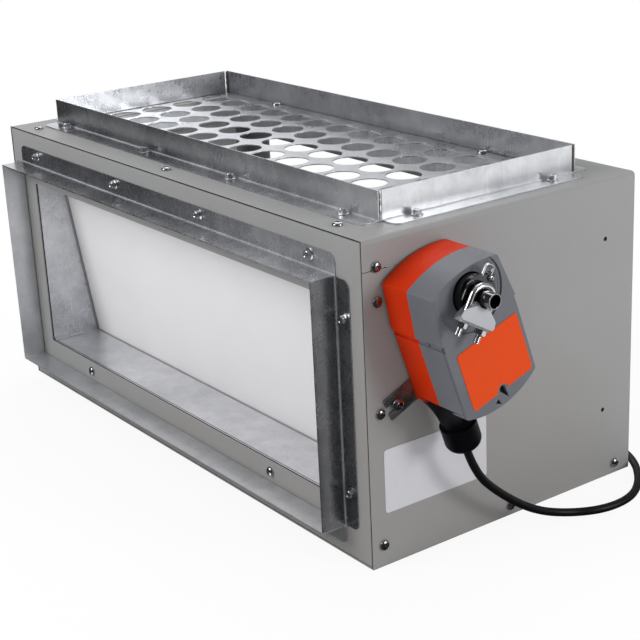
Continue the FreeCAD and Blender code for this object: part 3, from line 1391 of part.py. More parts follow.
PIECES = {
    "cabinet_wrap": cabinet_wrap,
    "front_panel": front_panel,
    "rear_panel": rear_panel,
    "bottom_pan": bottom_pan,
    "insulation_left": insulation_left,
    "insulation_right": insulation_right,
    "insulation_floor": insulation_floor,
    "front_seat_shelf": front_seat_shelf,
    "front_seat_head": front_seat_head,
    "front_seat_cheek_left": front_seat_cheek_left,
    "front_seat_cheek_right": front_seat_cheek_right,
    "front_gasket": front_gasket,
    "top_seat_front": top_seat_front,
    "top_seat_back": top_seat_back,
    "top_seat_left": top_seat_left,
    "top_seat_right": top_seat_right,
    "top_gasket": top_gasket,
    "perforated_plate": perforated_plate,
    "blade_front_skin": blade_front_skin,
    "blade_core": blade_core,
    "blade_rear_skin": blade_rear_skin,
    "blade_shaft": blade_shaft,
    "blade_screws": blade_screws,
    "shaft_bush_left": shaft_bush_left,
    "shaft_bush_right": shaft_bush_right,
    "actuator_base": actuator_base,
    "actuator_cover": actuator_cover,
    "actuator_label": actuator_label,
    "conduit_fitting": conduit_fitting,
    "gland_nut": gland_nut,
    "actuator_hub": actuator_hub,
    "hub_clip": hub_clip,
    "clip_screw": clip_screw,
    "clamp_saddle": clamp_saddle,
    "clamp_u_bolt": clamp_u_bolt,
    "clamp_nuts": clamp_nuts,
    "position_plate": position_plate,
    "anti_rotation_strap": anti_rotation_strap,
    "strap_screw": strap_screw,
    "nameplate": nameplate,
    "front_collar_screws": front_collar_screws,
    "top_collar_screws": top_collar_screws,
    "plate_screws": plate_screws,
    "throat_screws": throat_screws,
    "casing_screws_right": casing_screws_right,
    "casing_screws_left": casing_screws_left,
    "casing_screws_top": casing_screws_top,
    "cable_lead": cable_lead,
    "cable_coil": cable_coil,
    "cable_tails": cable_tails,
}


def main():
    """Builds every piece and writes one file for each."""
    os.makedirs("parts", exist_ok=True)
    shapes = {name: build() for name, build in PIECES.items()}
    for side in ("front", "back", "left", "right"):
        shapes["top_collar_" + side] = top_collar(side)
    for side, turned in (("top", "back"), ("bottom", "front"), ("left", "left"), ("right", "right")):
        shapes["front_collar_" + side] = front_collar(turned)
    for name, shape in shapes.items():
        if not shape.isValid():
            print("not valid:", name)
        shape.exportStep("parts/" + name + ".step")
        print(name, len(shape.Solids), "solids", round(shape.Volume), "mm3")


main()
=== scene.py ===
import logging
import math
from dataclasses import dataclass
from enum import Enum
from typing import Any, Callable, Iterable, Optional, Sequence, Union

import bmesh
import bpy
from mathutils import Matrix, Vector


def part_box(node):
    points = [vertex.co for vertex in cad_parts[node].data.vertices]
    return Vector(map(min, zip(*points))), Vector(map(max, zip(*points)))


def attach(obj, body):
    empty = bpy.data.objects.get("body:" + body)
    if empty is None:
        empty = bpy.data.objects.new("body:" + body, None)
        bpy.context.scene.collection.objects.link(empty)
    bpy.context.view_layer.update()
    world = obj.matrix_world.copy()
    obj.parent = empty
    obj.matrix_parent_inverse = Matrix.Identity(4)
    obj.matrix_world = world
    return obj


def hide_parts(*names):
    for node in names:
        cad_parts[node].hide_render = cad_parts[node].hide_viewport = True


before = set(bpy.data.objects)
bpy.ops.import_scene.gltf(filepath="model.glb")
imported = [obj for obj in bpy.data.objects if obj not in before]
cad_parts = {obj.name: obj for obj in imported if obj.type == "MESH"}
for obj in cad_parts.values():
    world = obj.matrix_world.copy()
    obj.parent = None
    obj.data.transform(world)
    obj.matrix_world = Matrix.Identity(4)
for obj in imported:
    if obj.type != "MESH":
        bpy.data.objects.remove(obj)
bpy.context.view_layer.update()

logging.basicConfig(level=logging.INFO, format="%(message)s")
LOG = logging.getLogger("bypass_damper")

MM = 0.001
WELD = 0.000004
Colour = tuple[float, float, float]
Point = tuple[float, float, float]
Pair = tuple[float, float]
Outline = Sequence[Pair]

# The casing's halves, height and sheet, and the blade's tube, in millimetres
HALF_LENGTH = 300.0
HALF_DEPTH = 147.0
HEIGHT = 275.0
SHEET = 1.0
TUBE_Y = -94.0
TUBE_Z = 237.0
TUBE_RADIUS = 6.35


def tone(red: int, green: int, blue: int) -> Colour:
    """Turns display values into the linear colour that a shader takes.

    Args:
        red: red from 0 to 255.
        green: green from 0 to 255.
        blue: blue from 0 to 255.

    Returns:
        The linear colour.
    """
    return tuple(
        value / 12.92 if value <= 0.04045 else ((value + 0.055) / 1.055) ** 2.4
        for value in (red / 255, green / 255, blue / 255)
    )


def scaled(colour: Colour, factor: float) -> Colour:
    """A colour times a factor."""
    return tuple(channel * factor for channel in colour)


class Body(Enum):
    """The two moving groups of the damper."""

    CASING = "casing"
    BLADE = "blade"


class Facing(Enum):
    """Where a fastener's head looks, as a turn in degrees about an axis from facing up."""

    UP = (0, "X")
    FRONT = (90, "X")
    BACK = (-90, "X")
    RIGHT = (90, "Y")
    LEFT = (-90, "Y")

    def matrix(self) -> Matrix:
        """The turn that brings a piece made facing up to this facing."""
        angle, axis = self.value
        return Matrix.Rotation(math.radians(angle), 4, axis)


# Shader expressions


class Value:
    """A node's output, on which Python's operators build Math nodes."""

    def __init__(self, graph: "Graph", socket: bpy.types.NodeSocket) -> None:
        """Wraps one output socket of a graph."""
        self.graph = graph
        self.socket = socket

    def math(self, operation: str, *others: "Operand", clamp: bool = False) -> "Value":
        """Adds a Math node whose first operand is this value.

        Args:
            operation: the Math node's operation.
            others: the remaining operands.
            clamp: whether the result stays between 0 and 1.

        Returns:
            The node's result.
        """
        return self.graph.math(operation, self, *others, clamp=clamp)

    def __add__(self, other: "Operand") -> "Value":
        """This value plus another."""
        return self.math("ADD", other)

    __radd__ = __add__

    def __sub__(self, other: "Operand") -> "Value":
        """This value less another."""
        return self.math("SUBTRACT", other)

    def __rsub__(self, other: "Operand") -> "Value":
        """Another less this value."""
        return self.graph.math("SUBTRACT", other, self)

    def __mul__(self, other: "Operand") -> "Value":
        """This value times another."""
        return self.math("MULTIPLY", other)

    __rmul__ = __mul__

    def clamped(self) -> "Value":
        """This value kept between 0 and 1."""
        return self.math("ADD", 0.0, clamp=True)

    def between(self, low: float, high: float, start: float = 0.0, end: float = 1.0) -> "Value":
        """Spreads a span of this value smoothly over another span.

        Args:
            low: the value that gives start.
            high: the value that gives end.
            start: result at low.
            end: result at high.

        Returns:
            The smooth step.
        """
        return self.graph.node(
            "ShaderNodeMapRange",
            {"interpolation_type": "SMOOTHSTEP"},
            {"Value": self, "From Min": low, "From Max": high, "To Min": start, "To Max": end},
            "Result",
        )


Operand = Union[Value, float, int]


class Graph:
    """A node tree, with one method for every kind of node."""

    def __init__(self, tree: bpy.types.NodeTree) -> None:
        """Takes a node tree and empties it."""
        self.tree = tree
        tree.nodes.clear()

    def feed(self, socket: bpy.types.NodeSocket, value: Any) -> None:
        """Sets a socket or links a value to it."""
        if isinstance(value, Value):
            self.tree.links.new(value.socket, socket)
        elif value is not None:
            socket.default_value = value

    def made(self, kind: str, settings: Optional[dict] = None,
             inputs: Optional[dict] = None) -> bpy.types.Node:
        """Adds a node.

        Args:
            kind: the node's type.
            settings: its settings, set before its sockets.
            inputs: values or links by socket name or number.

        Returns:
            The node.
        """
        node = self.tree.nodes.new(kind)
        for name, value in (settings or {}).items():
            setattr(node, name, value)
        for name, value in (inputs or {}).items():
            self.feed(node.inputs[name], value)
        return node

    def node(self, kind: str, settings: Optional[dict] = None, inputs: Optional[dict] = None,
             output: Union[str, int] = 0) -> Value:
        """Adds a node and gives one of its outputs.

        Args:
            kind: the node's type.
            settings: its settings, set before its sockets.
            inputs: values or links by socket name or number.
            output: the output's name or number.

        Returns:
            The output.
        """
        return Value(self, self.made(kind, settings, inputs).outputs[output])

    def math(self, operation: str, *operands: Operand, clamp: bool = False) -> Value:
        """Adds a Math node on values or numbers.

        Args:
            operation: the node's operation.
            operands: its operands in order.
            clamp: whether the result stays between 0 and 1.

        Returns:
            The result.
        """
        settings = {"operation": operation, "use_clamp": clamp}
        return self.node("ShaderNodeMath", settings, dict(enumerate(operands)))

    def mix(self, factor: Operand, first: Any, second: Any) -> Value:
        """Mixes two colours.

        Args:
            factor: share of the second colour.
            first: a linear colour or a link.
            second: a linear colour or a link.

        Returns:
            The mixed colour.
        """
        low, high = [(*c, 1.0) if isinstance(c, tuple) and len(c) == 3 else c for c in (first, second)]
        return self.node("ShaderNodeMix", {"data_type": "RGBA"}, {0: factor, 6: low, 7: high}, 2)

    def place(self) -> Value:
        """The point on the piece, in the frame's metres."""
        return self.node("ShaderNodeTexCoord", output="Object")

    def stretched(self, scale: Point, turn: Point = (0.0, 0.0, 0.0)) -> Value:
        """The point on the piece, scaled along the axes and turned."""
        return self.node("ShaderNodeMapping", {}, {"Vector": self.place(), "Scale": scale, "Rotation": turn})

    def noise(self, scale: float, detail: float = 2.0, roughness: float = 0.5,
              vector: Optional[Value] = None, output: str = "Fac") -> Value:
        """Noise in the frame's metres.

        Args:
            scale: waves per metre.
            detail: octaves.
            roughness: weight of the finer octaves.
            vector: coordinates other than the point itself.
            output: Fac or Color.

        Returns:
            The noise.
        """
        inputs = {"Vector": vector or self.place(), "Scale": scale, "Detail": detail, "Roughness": roughness}
        return self.node("ShaderNodeTexNoise", {}, inputs, output)

    def cells(self, scale: float, output: str = "Color", vector: Optional[Value] = None) -> Value:
        """Cells in the frame's metres.

        Args:
            scale: cells per metre.
            output: Color for one value a cell, Distance for the distance to its middle.
            vector: coordinates other than the point itself.

        Returns:
            The cells.
        """
        inputs = {"Vector": vector or self.place(), "Scale": scale}
        return self.node("ShaderNodeTexVoronoi", {}, inputs, output)

    def axis(self, name: str, vector: Optional[Value] = None) -> Value:
        """One coordinate of the point on the piece."""
        return self.node("ShaderNodeSeparateXYZ", {}, {0: vector or self.place()}, name)

    def bump(self, height: Value, depth: float, strength: float = 1.0,
             normal: Optional[Value] = None) -> Value:
        """A Bump node.

        Args:
            height: the height, mostly from 0 to 1.
            depth: what a height of 1 is, in metres.
            strength: the share of the effect.
            normal: the normal of a coarser bump under it.

        Returns:
            The normal.
        """
        inputs = {"Height": height, "Distance": depth, "Strength": strength, "Normal": normal}
        return self.node("ShaderNodeBump", {}, inputs)


# Finishes


class Finish:
    """A surface finish that becomes one material."""

    label: str
    made: dict[str, bpy.types.Material] = {}

    def material(self) -> bpy.types.Material:
        """The finish's material, made on first use.

        Returns:
            The material.
        """
        if self.label not in Finish.made:
            material = bpy.data.materials.new(self.label)
            material.use_nodes = True
            graph = Graph(material.node_tree)
            shader = graph.made("ShaderNodeBsdfPrincipled")
            graph.made("ShaderNodeOutputMaterial", {}, {"Surface": Value(graph, shader.outputs[0])})
            self.shade(graph, shader)
            Finish.made[self.label] = material
        return Finish.made[self.label]

    def shade(self, graph: Graph, shader: bpy.types.Node) -> None:
        """Fills the shader's sockets."""
        raise NotImplementedError

    @staticmethod
    def fill(graph: Graph, shader: bpy.types.Node, **values: Any) -> None:
        """Feeds sockets of the shader by name, with underscores for spaces.

        Args:
            graph: the material's graph.
            shader: the Principled shader.
            values: numbers, colours or links by socket name.
        """
        for name, value in values.items():
            if isinstance(value, tuple) and len(value) == 3:
                value = (*value, 1.0)
            graph.feed(shader.inputs[name.replace("_", " ")], value)


@dataclass(frozen=True)
class BakedPaint(Finish):
    """Smooth stove paint on sheet steel, with a fine orange peel."""

    label: str
    colour: Colour
    warmer: Colour
    roughness: float = 0.42
    peel: float = 0.000012
    wave: float = 0.00022
    specular: float = 0.2

    def shade(self, graph: Graph, shader: bpy.types.Node) -> None:
        """Clouds the colour, dulls it unevenly, and adds peel over the sheet's slow waves."""
        cloud = graph.noise(5.0, 3.0, 0.55).between(0.3, 0.7)
        speck = graph.noise(700.0, 2.0, 0.6)
        base = graph.mix(cloud, self.colour, self.warmer)
        base = graph.mix(speck.between(0.66, 0.8, 0.0, 0.12), base, scaled(self.colour, 0.6))
        rub = graph.noise(22.0, 4.0, 0.6).between(0.35, 0.75, -0.03, 0.06)
        slow = graph.bump(graph.noise(4.5, 1.0), self.wave)
        peel = graph.bump(graph.noise(1300.0, 1.0), self.peel, 1.0, slow)
        self.fill(graph, shader, Base_Color=base, Roughness=rub + self.roughness, Normal=peel,
                  Specular_IOR_Level=self.specular)


@dataclass(frozen=True)
class Spangle(Finish):
    """Hot-dip zinc: crystals that each have a slightly different shade and dullness."""

    label: str
    dark: Colour
    light: Colour
    roughness: float = 0.3
    metallic: float = 0.95
    # How far the metallic drops towards the right, which pales the zinc there.
    fade: float = 0.0
    crystals: float = 90.0
    tilt: float = 0.00035

    def shade(self, graph: Graph, shader: bpy.types.Node) -> None:
        """Clouds the zinc, shades its crystals, adds run marks and scratches, and lowers its metallic towards
        the right, which pales it there.
        """
        warp = graph.noise(60.0, 4.0, 0.65, output="Color")
        bent = graph.node("ShaderNodeVectorMath", {"operation": "MULTIPLY_ADD"},
                          {0: warp, 1: (0.03, 0.03, 0.03), 2: graph.place()})
        shade = graph.axis("X", graph.cells(self.crystals, vector=bent))
        fine = graph.noise(420.0, 2.0, 0.5)
        cloud = graph.noise(13.0, 5.0, 0.68).between(0.3, 0.72)
        smear = graph.noise(70.0, 2.0, 0.5).between(0.3, 0.75)
        run = graph.noise(30.0, 3.0, 0.6, graph.stretched((9.0, 9.0, 0.5))).between(0.52, 0.8)
        scratch = graph.noise(38.0, 2.0, 0.5, graph.stretched((1.0, 26.0, 26.0), (0.3, 0.5, 0.2)))
        scratch = scratch.between(0.72, 0.8)
        fleck = graph.noise(240.0, 2.0, 0.6).between(0.7, 0.9)
        blend = (shade * 0.12 + fine * 0.16 + cloud * 0.46 + smear * 0.2 + run * 0.2 - 0.08).clamped()
        base = graph.mix(blend, self.dark, self.light)
        base = graph.mix(fleck * 0.1, base, scaled(self.dark, 0.5))
        dull = shade * 0.03 + cloud * 0.05 + fine * 0.04 + run * 0.05 + scratch * 0.08 + fleck * 0.06
        leaf = graph.bump(graph.noise(11.0, 2.0, 0.5), self.tilt, 0.6)
        skin = graph.bump(fine - scratch * 0.3, 0.000003, 0.7, leaf)
        metal: Union[Value, float] = self.metallic
        if self.fade:
            metal = graph.axis("X").between(-0.08, 0.27, self.metallic, self.metallic - self.fade)
        self.fill(graph, shader, Base_Color=base, Roughness=dull + (self.roughness - 0.07), Normal=skin,
                  Metallic=metal)


@dataclass(frozen=True)
class BrightZinc(Finish):
    """Bright zinc plate on small hardware, with fine handling marks."""

    label: str
    colour: Colour
    roughness: float

    def shade(self, graph: Graph, shader: bpy.types.Node) -> None:
        """Dulls the plate in patches and scratches it finely."""
        patch = graph.noise(160.0, 3.0, 0.6)
        lines = graph.noise(900.0, 2.0, 0.5, graph.stretched((1.0, 0.12, 1.0)))
        base = graph.mix(patch.between(0.35, 0.7), self.colour, scaled(self.colour, 0.82))
        roughness = patch * 0.12 + lines * 0.06 + (self.roughness - 0.08)
        normal = graph.bump(lines, 0.000006, 0.6)
        self.fill(graph, shader, Base_Color=base, Roughness=roughness, Normal=normal, Metallic=1.0)


@dataclass(frozen=True)
class DarkSteel(Finish):
    """Blackened steel: dark oxide with a dull sheen."""

    label: str
    colour: Colour
    roughness: float = 0.42
    bare: Colour = (0.4, 0.4, 0.41)

    def shade(self, graph: Graph, shader: bpy.types.Node) -> None:
        """Clouds the oxide and shows bare steel in a few specks."""
        cloud = graph.noise(120.0, 4.0, 0.6)
        wear = graph.noise(650.0, 3.0, 0.7).between(0.66, 0.78, 0.0, 0.4)
        base = graph.mix(cloud.between(0.3, 0.7), self.colour, tuple(c * 1.8 + 0.01 for c in self.colour))
        base = graph.mix(wear, base, self.bare)
        self.fill(graph, shader, Base_Color=base, Roughness=cloud * 0.2 + (self.roughness - 0.1),
                  Metallic=0.85, Normal=graph.bump(cloud, 0.00002, 0.7))


@dataclass(frozen=True)
class MouldedPlastic(Finish):
    """Injection-moulded plastic with a fine spark-eroded grain."""

    label: str
    colour: Colour
    roughness: float = 0.4
    grain: float = 0.000016
    grain_scale: float = 1500.0
    specular: float = 0.5

    def shade(self, graph: Graph, shader: bpy.types.Node) -> None:
        """Adds the grain, slow flow marks in the colour, and slight rubbing."""
        flow = graph.noise(26.0, 3.0, 0.5).between(0.3, 0.7)
        grain = graph.noise(self.grain_scale, 2.0, 0.5)
        base = graph.mix(flow, scaled(self.colour, 0.95), scaled(self.colour, 1.05))
        base = graph.mix(grain.between(0.6, 0.8, 0.0, 0.12), base, scaled(self.colour, 0.7))
        roughness = flow * 0.05 + grain * 0.07 + (self.roughness - 0.05)
        self.fill(graph, shader, Base_Color=base, Roughness=roughness, Normal=graph.bump(grain, self.grain),
                  Specular_IOR_Level=self.specular)


@dataclass(frozen=True)
class PrintedFilm(Finish):
    """A blank self-adhesive film, with a faint fibre and slight waves."""

    label: str
    colour: Colour
    roughness: float = 0.38
    specular: float = 0.4

    def shade(self, graph: Graph, shader: bpy.types.Node) -> None:
        """Mottles the film a little and lets it wave on its glue."""
        fibre = graph.noise(900.0, 4.0, 0.7)
        glue = graph.noise(60.0, 2.0, 0.5)
        base = graph.mix(fibre.between(0.3, 0.75), self.colour, scaled(self.colour, 0.94))
        normal = graph.bump(glue, 0.00004, 0.6)
        self.fill(graph, shader, Base_Color=base, Roughness=fibre * 0.08 + self.roughness,
                  Normal=graph.bump(fibre, 0.000004, 0.6, normal), Specular_IOR_Level=self.specular)


@dataclass(frozen=True)
class CellFoam(Finish):
    """Closed-cell foam with a broken skin."""

    label: str
    colour: Colour
    pores: float = 900.0
    depth: float = 0.00025

    def shade(self, graph: Graph, shader: bpy.types.Node) -> None:
        """Sinks pores, paints shade into them, and so leaves the walls between them lighter."""
        pore = graph.cells(self.pores, "Distance")
        rough = graph.noise(260.0, 3.0, 0.6)
        # Painted shade: the colour darkens towards each pore's middle, where the pore sinks.
        base = graph.mix(pore.between(0.1, 0.6), scaled(self.colour, 0.55), self.colour)
        height = pore * 0.7 + rough * 0.6
        self.fill(graph, shader, Base_Color=base, Roughness=0.93 - rough * 0.1,
                  Normal=graph.bump(height, self.depth, 0.8), Specular_IOR_Level=0.25)


@dataclass(frozen=True)
class CableJacket(Finish):
    """Extruded black jacket with a satin skin."""

    label: str
    colour: Colour
    roughness: float = 0.4

    def shade(self, graph: Graph, shader: bpy.types.Node) -> None:
        """Adds talc dust and the die's faint marks."""
        dust = graph.noise(90.0, 4.0, 0.7)
        skin = graph.noise(1500.0, 2.0, 0.5)
        dusty = tuple(channel + 0.006 for channel in self.colour)
        base = graph.mix(dust.between(0.5, 0.85, 0.0, 0.5), self.colour, dusty)
        self.fill(graph, shader, Base_Color=base, Roughness=dust * 0.16 + (self.roughness - 0.05),
                  Normal=graph.bump(skin, 0.000012, 0.7), Specular_IOR_Level=0.2)


@dataclass(frozen=True)
class DeepShade(Finish):
    """Painted shade inside a narrow joint or recess, with a little grime in it."""

    label: str
    colour: Colour
    roughness: float = 0.8

    def shade(self, graph: Graph, shader: bpy.types.Node) -> None:
        """Lets a little grime lighten the painted shade."""
        grime = graph.noise(140.0, 4.0, 0.7).between(0.45, 0.8, 0.0, 0.6)
        base = graph.mix(grime, self.colour, scaled(self.colour, 2.0))
        self.fill(graph, shader, Base_Color=base, Roughness=self.roughness, Specular_IOR_Level=0.2)


PAINT = BakedPaint("casing_paint", tone(152, 152, 152), tone(149, 147, 145))
BLADE_WHITE = BakedPaint("blade_paint", tone(236, 235, 237), tone(231, 229, 230), 0.36, 0.00001, 0.0004)
ZINC = Spangle("galvanised", tone(186, 188, 193), tone(240, 241, 243))
# The next three are copies of the galvanised zinc with light and shade painted in: the first two are darker,
# painted shade, and the third is lighter and less metallic, painted light; the second also pales towards the
# right.
SHADED_ZINC = Spangle("shaded_zinc", tone(160, 162, 167), tone(218, 219, 222), 0.28)
SHADED_ZINC_PALING_RIGHT = Spangle("shaded_zinc_paling_right", tone(160, 162, 167), tone(218, 219, 222), 0.28, fade=0.3)
LIT_ZINC = Spangle("lit_zinc", tone(198, 200, 204), tone(244, 244, 246), 0.34, metallic=0.78)
# A pale, barely metallic strip for the collars' bends: a painted highlight.
FOLD_HIGHLIGHT = Spangle("fold_highlight", tone(176, 178, 183), tone(226, 227, 230), 0.4, metallic=0.3)
BRIGHT = BrightZinc("bright_steel", (0.78, 0.78, 0.8), 0.22)
# Base colour kept far darker than bare steel's own, a painted dark reflection.
TUBE_STEEL_DARK_REFLECTION = BrightZinc("tube_steel_dark_reflection", (0.27, 0.27, 0.28), 0.12)
SCREW_ZINC = BrightZinc("screw_zinc", (0.5, 0.51, 0.53), 0.18)
HEX_ZINC = BrightZinc("hex_zinc", (0.76, 0.77, 0.8), 0.27)
STRAP_STEEL = DarkSteel("strap_steel", (0.2, 0.2, 0.205), 0.3)
# Base colour kept far darker than chrome's own, a painted dark reflection.
RING_CHROME_DARK_REFLECTION = BrightZinc("ring_chrome_dark_reflection", (0.085, 0.085, 0.09), 0.1)
WIRE_ZINC = BrightZinc("wire_zinc", (0.8, 0.8, 0.82), 0.3)
ORANGE = MouldedPlastic("actuator_orange", tone(194, 48, 14), 0.3, specular=0.05)
GREY = MouldedPlastic("actuator_grey", tone(104, 106, 112), 0.36, specular=0.3)
LABEL = PrintedFilm("label_orange", tone(222, 74, 24), 0.5, 0.1)
NAMEPLATE = PrintedFilm("white_label", tone(206, 206, 211), 0.4)
POINTER = MouldedPlastic("pointer_grey", tone(178, 180, 184), 0.5)
BLACK = MouldedPlastic("black_plastic", (0.003, 0.003, 0.004), 0.36, specular=0.06)
HUB_GLOSS = MouldedPlastic("hub_black", (0.005, 0.005, 0.006), 0.14, 0.000003)
BUSH = MouldedPlastic("bush_plastic", tone(218, 214, 202), 0.5)
LINING = CellFoam("lining_foam", (0.66, 0.66, 0.67))
GASKET = CellFoam("gasket_foam", (0.34, 0.34, 0.35), 1400.0, 0.00015)
JACKET = CableJacket("cable_jacket", (0.005, 0.005, 0.006))
COPPER = BrightZinc("copper", (0.75, 0.36, 0.2), 0.28)
SEALANT = PrintedFilm("sealant", tone(205, 207, 210), 0.3)
OLD_SEALANT = PrintedFilm("old_sealant", tone(92, 86, 82), 0.5)
PRINT_DARK = PrintedFilm("dial_print", tone(78, 80, 86), 0.45)
# Painted shade: dark strips laid into joints, grooves and recesses where little light reaches.
SEAM_SHADE = DeepShade("seam_shadow", (0.012, 0.012, 0.013), 0.7)
WELL_SHADE = DeepShade("well_shadow", (0.008, 0.008, 0.009), 0.8)


# Meshes


class Shape:
    """A mesh in millimetres that grows by turned, drawn and swept pieces."""

    def __init__(self) -> None:
        """Starts empty."""
        self.mesh = bmesh.new()

    def ring(self, points: Iterable[Vector]) -> list[bmesh.types.BMVert]:
        """Adds a ring of vertices."""
        return [self.mesh.verts.new(point) for point in points]

    def bridge(self, first: Sequence[bmesh.types.BMVert], second: Sequence[bmesh.types.BMVert]) -> None:
        """Joins two closed rings of equal count with quads."""
        count = len(first)
        for index in range(count):
            after = (index + 1) % count
            self.mesh.faces.new((first[index], first[after], second[after], second[index]))

    def cap(self, ring: Sequence[bmesh.types.BMVert], flipped: bool = False) -> None:
        """Closes a ring with one face."""
        self.mesh.faces.new(list(reversed(ring)) if flipped else ring)

    def stack(self, rings: Sequence[Sequence[Vector]]) -> None:
        """Joins rings of equal count one after the other, from the bottom up, and closes both ends."""
        made = [self.ring(ring) for ring in rings]
        for first, second in zip(made, made[1:]):
            self.bridge(first, second)
        self.cap(made[0], True)
        self.cap(made[-1])

    def looped(self, rings: Sequence[Sequence[Vector]]) -> None:
        """Joins rings of equal count one after the other, and the last to the first."""
        made = [self.ring(ring) for ring in rings]
        for first, second in zip(made, made[1:] + made[:1]):
            self.bridge(first, second)

    def turned(self, profile: Outline, steps: int = 40) -> None:
        """Revolves pairs of radius and height about Z.

        Args:
            profile: the pairs, from the bottom up.
            steps: how many steps make a turn.
        """
        self.stack([circle(radius, height, steps) for radius, height in profile])

    def drawn(self, outline: Outline, low: float, high: float, chamfer: float = 0.0) -> None:
        """Extrudes an outline along Z, with its two rims drawn in by a chamfer.

        Args:
            outline: points in order, anticlockwise from above.
            low: height of the bottom.
            high: height of the top.
            chamfer: how far the rims are drawn in.
        """
        inner = inset(outline, chamfer)
        levels = [(inner, low), (outline, low + chamfer), (outline, high - chamfer), (inner, high)]
        if not chamfer:
            levels = [(outline, low), (outline, high)]
        self.stack([[Vector((x, y, height)) for x, y in points] for points, height in levels])

    def swept(self, path: Sequence[Vector], radius: Callable[[float, float], float], steps: int) -> None:
        """Sweeps a round section along a path.

        Args:
            path: points of the centre line.
            radius: the radius by the distance along and the angle round.
            steps: how many steps go round.
        """
        rings = []
        run = 0.0
        side = None
        for index, point in enumerate(path):
            ahead = path[min(index + 1, len(path) - 1)] - path[max(index - 1, 0)]
            ahead.normalize()
            if index:
                run += (point - path[index - 1]).length
            if side is None:
                side = ahead.orthogonal().normalized()
            side = (side - ahead * side.dot(ahead)).normalized()
            across = ahead.cross(side)
            ring = []
            for step in range(steps):
                angle = math.tau * step / steps
                reach = radius(run, angle)
                ring.append(point + side * (reach * math.cos(angle)) + across * (reach * math.sin(angle)))
            rings.append(ring)
        self.stack(rings)

    def add(self, other: "Shape", matrix: Matrix) -> None:
        """Adds a moved copy of another shape."""
        copy = other.mesh.copy()
        bmesh.ops.transform(copy, matrix=matrix, verts=copy.verts)
        held = bpy.data.meshes.new("held")
        copy.to_mesh(held)
        copy.free()
        self.mesh.from_mesh(held)
        bpy.data.meshes.remove(held)

    def moved(self, matrix: Matrix) -> "Shape":
        """A moved copy of this shape."""
        result = Shape()
        result.add(self, matrix)
        return result

    def carved(self, *cutters: "Shape") -> "Shape":
        """Cuts other shapes out of this one with the exact Boolean.

        Args:
            cutters: closed shapes.

        Returns:
            The carved shape.
        """
        body = self.loose("carving")
        tools = []
        for cutter in cutters:
            tool = cutter.loose("cutter")
            modifier = body.modifiers.new("cut", "BOOLEAN")
            modifier.operation = "DIFFERENCE"
            modifier.solver = "EXACT"
            modifier.object = tool
            tools.append(tool)
        bpy.context.view_layer.update()
        cut = bpy.data.meshes.new_from_object(body.evaluated_get(bpy.context.evaluated_depsgraph_get()))
        result = Shape()
        result.mesh.from_mesh(cut)
        bmesh.ops.scale(result.mesh, vec=(1 / MM,) * 3, verts=result.mesh.verts)
        for used in [body, *tools]:
            bpy.data.objects.remove(used)
        bpy.data.meshes.remove(cut)
        return result

    def loose(self, name: str) -> bpy.types.Object:
        """This shape as an object in metres.

        Args:
            name: the object's name.

        Returns:
            The object, linked to the scene.
        """
        bmesh.ops.recalc_face_normals(self.mesh, faces=self.mesh.faces)
        data = bpy.data.meshes.new(name)
        self.mesh.to_mesh(data)
        data.transform(Matrix.Scale(MM, 4))
        thing = bpy.data.objects.new(name, data)
        bpy.context.scene.collection.objects.link(thing)
        return thing


def circle(radius: float, height: float, steps: int) -> list[Vector]:
    """Points evenly round a level circle about Z.

    Args:
        radius: its radius.
        height: its height.
        steps: how many points it has.

    Returns:
        The points.
    """
    angles = [math.tau * step / steps for step in range(steps)]
    return [Vector((radius * math.cos(angle), radius * math.sin(angle), height)) for angle in angles]


def inset(outline: Outline, distance: float) -> list[Pair]:
    """Moves a closed outline's corners inward by a distance.

    Args:
        outline: points in order, anticlockwise.
        distance: how far each side moves in.

    Returns:
        The smaller outline.
    """
    result = []
    count = len(outline)
    for index in range(count):
        before = Vector(outline[index - 1])
        here = Vector(outline[index])
        after = Vector(outline[(index + 1) % count])
        first = (here - before).normalized()
        second = (after - here).normalized()
        left = Vector((-first.y, first.x))
        right = Vector((-second.y, second.x))
        bisector = left + right
        bisector = bisector / max(bisector.length_squared / 2, 0.2)
        result.append(tuple(here + bisector * distance))
    return result


def arc(centre: Pair, radius: float, start: float, end: float, steps: int) -> list[Pair]:
    """Points along an arc.

    Args:
        centre: its centre.
        radius: its radius.
        start: first angle in degrees.
        end: last angle in degrees.
        steps: how many spans it has.

    Returns:
        The points, both ends among them.
    """
    points = []
    for index in range(steps + 1):
        angle = math.radians(start + (end - start) * index / steps)
        points.append((centre[0] + radius * math.cos(angle), centre[1] + radius * math.sin(angle)))
    return points


def hexagon(width: float, height: float, chamfer: float, bore: float) -> Shape:
    """A nut on the XY plane, chamfered at both ends, with a bore.

    Args:
        width: its width across the flats.
        height: its height.
        chamfer: height of the conical chamfers at the corners.
        bore: radius of the hole.

    Returns:
        The nut.
    """
    steps = 48
    apothem = width / 2
    crown = apothem * 0.97
    overhang = apothem / math.cos(math.radians(30)) - crown
    lower, upper = [], []
    for step in range(steps):
        angle = math.tau * step / steps
        reach = apothem / math.cos(from_flat(angle))
        drop = chamfer * (reach - crown) / overhang
        lower.append(Vector((reach * math.cos(angle), reach * math.sin(angle), drop)))
        upper.append(Vector((reach * math.cos(angle), reach * math.sin(angle), height - drop)))
    shape = Shape()
    shape.looped([circle(crown, 0.0, steps), lower, upper, circle(crown, height, steps),
                  circle(bore, height, steps), circle(bore, 0.0, steps)])
    return shape


def from_flat(angle: float) -> float:
    """How far an angle lies from the middle of a hexagon's nearest flat, in radians."""
    return math.radians((math.degrees(angle) + 30) % 60 - 30)


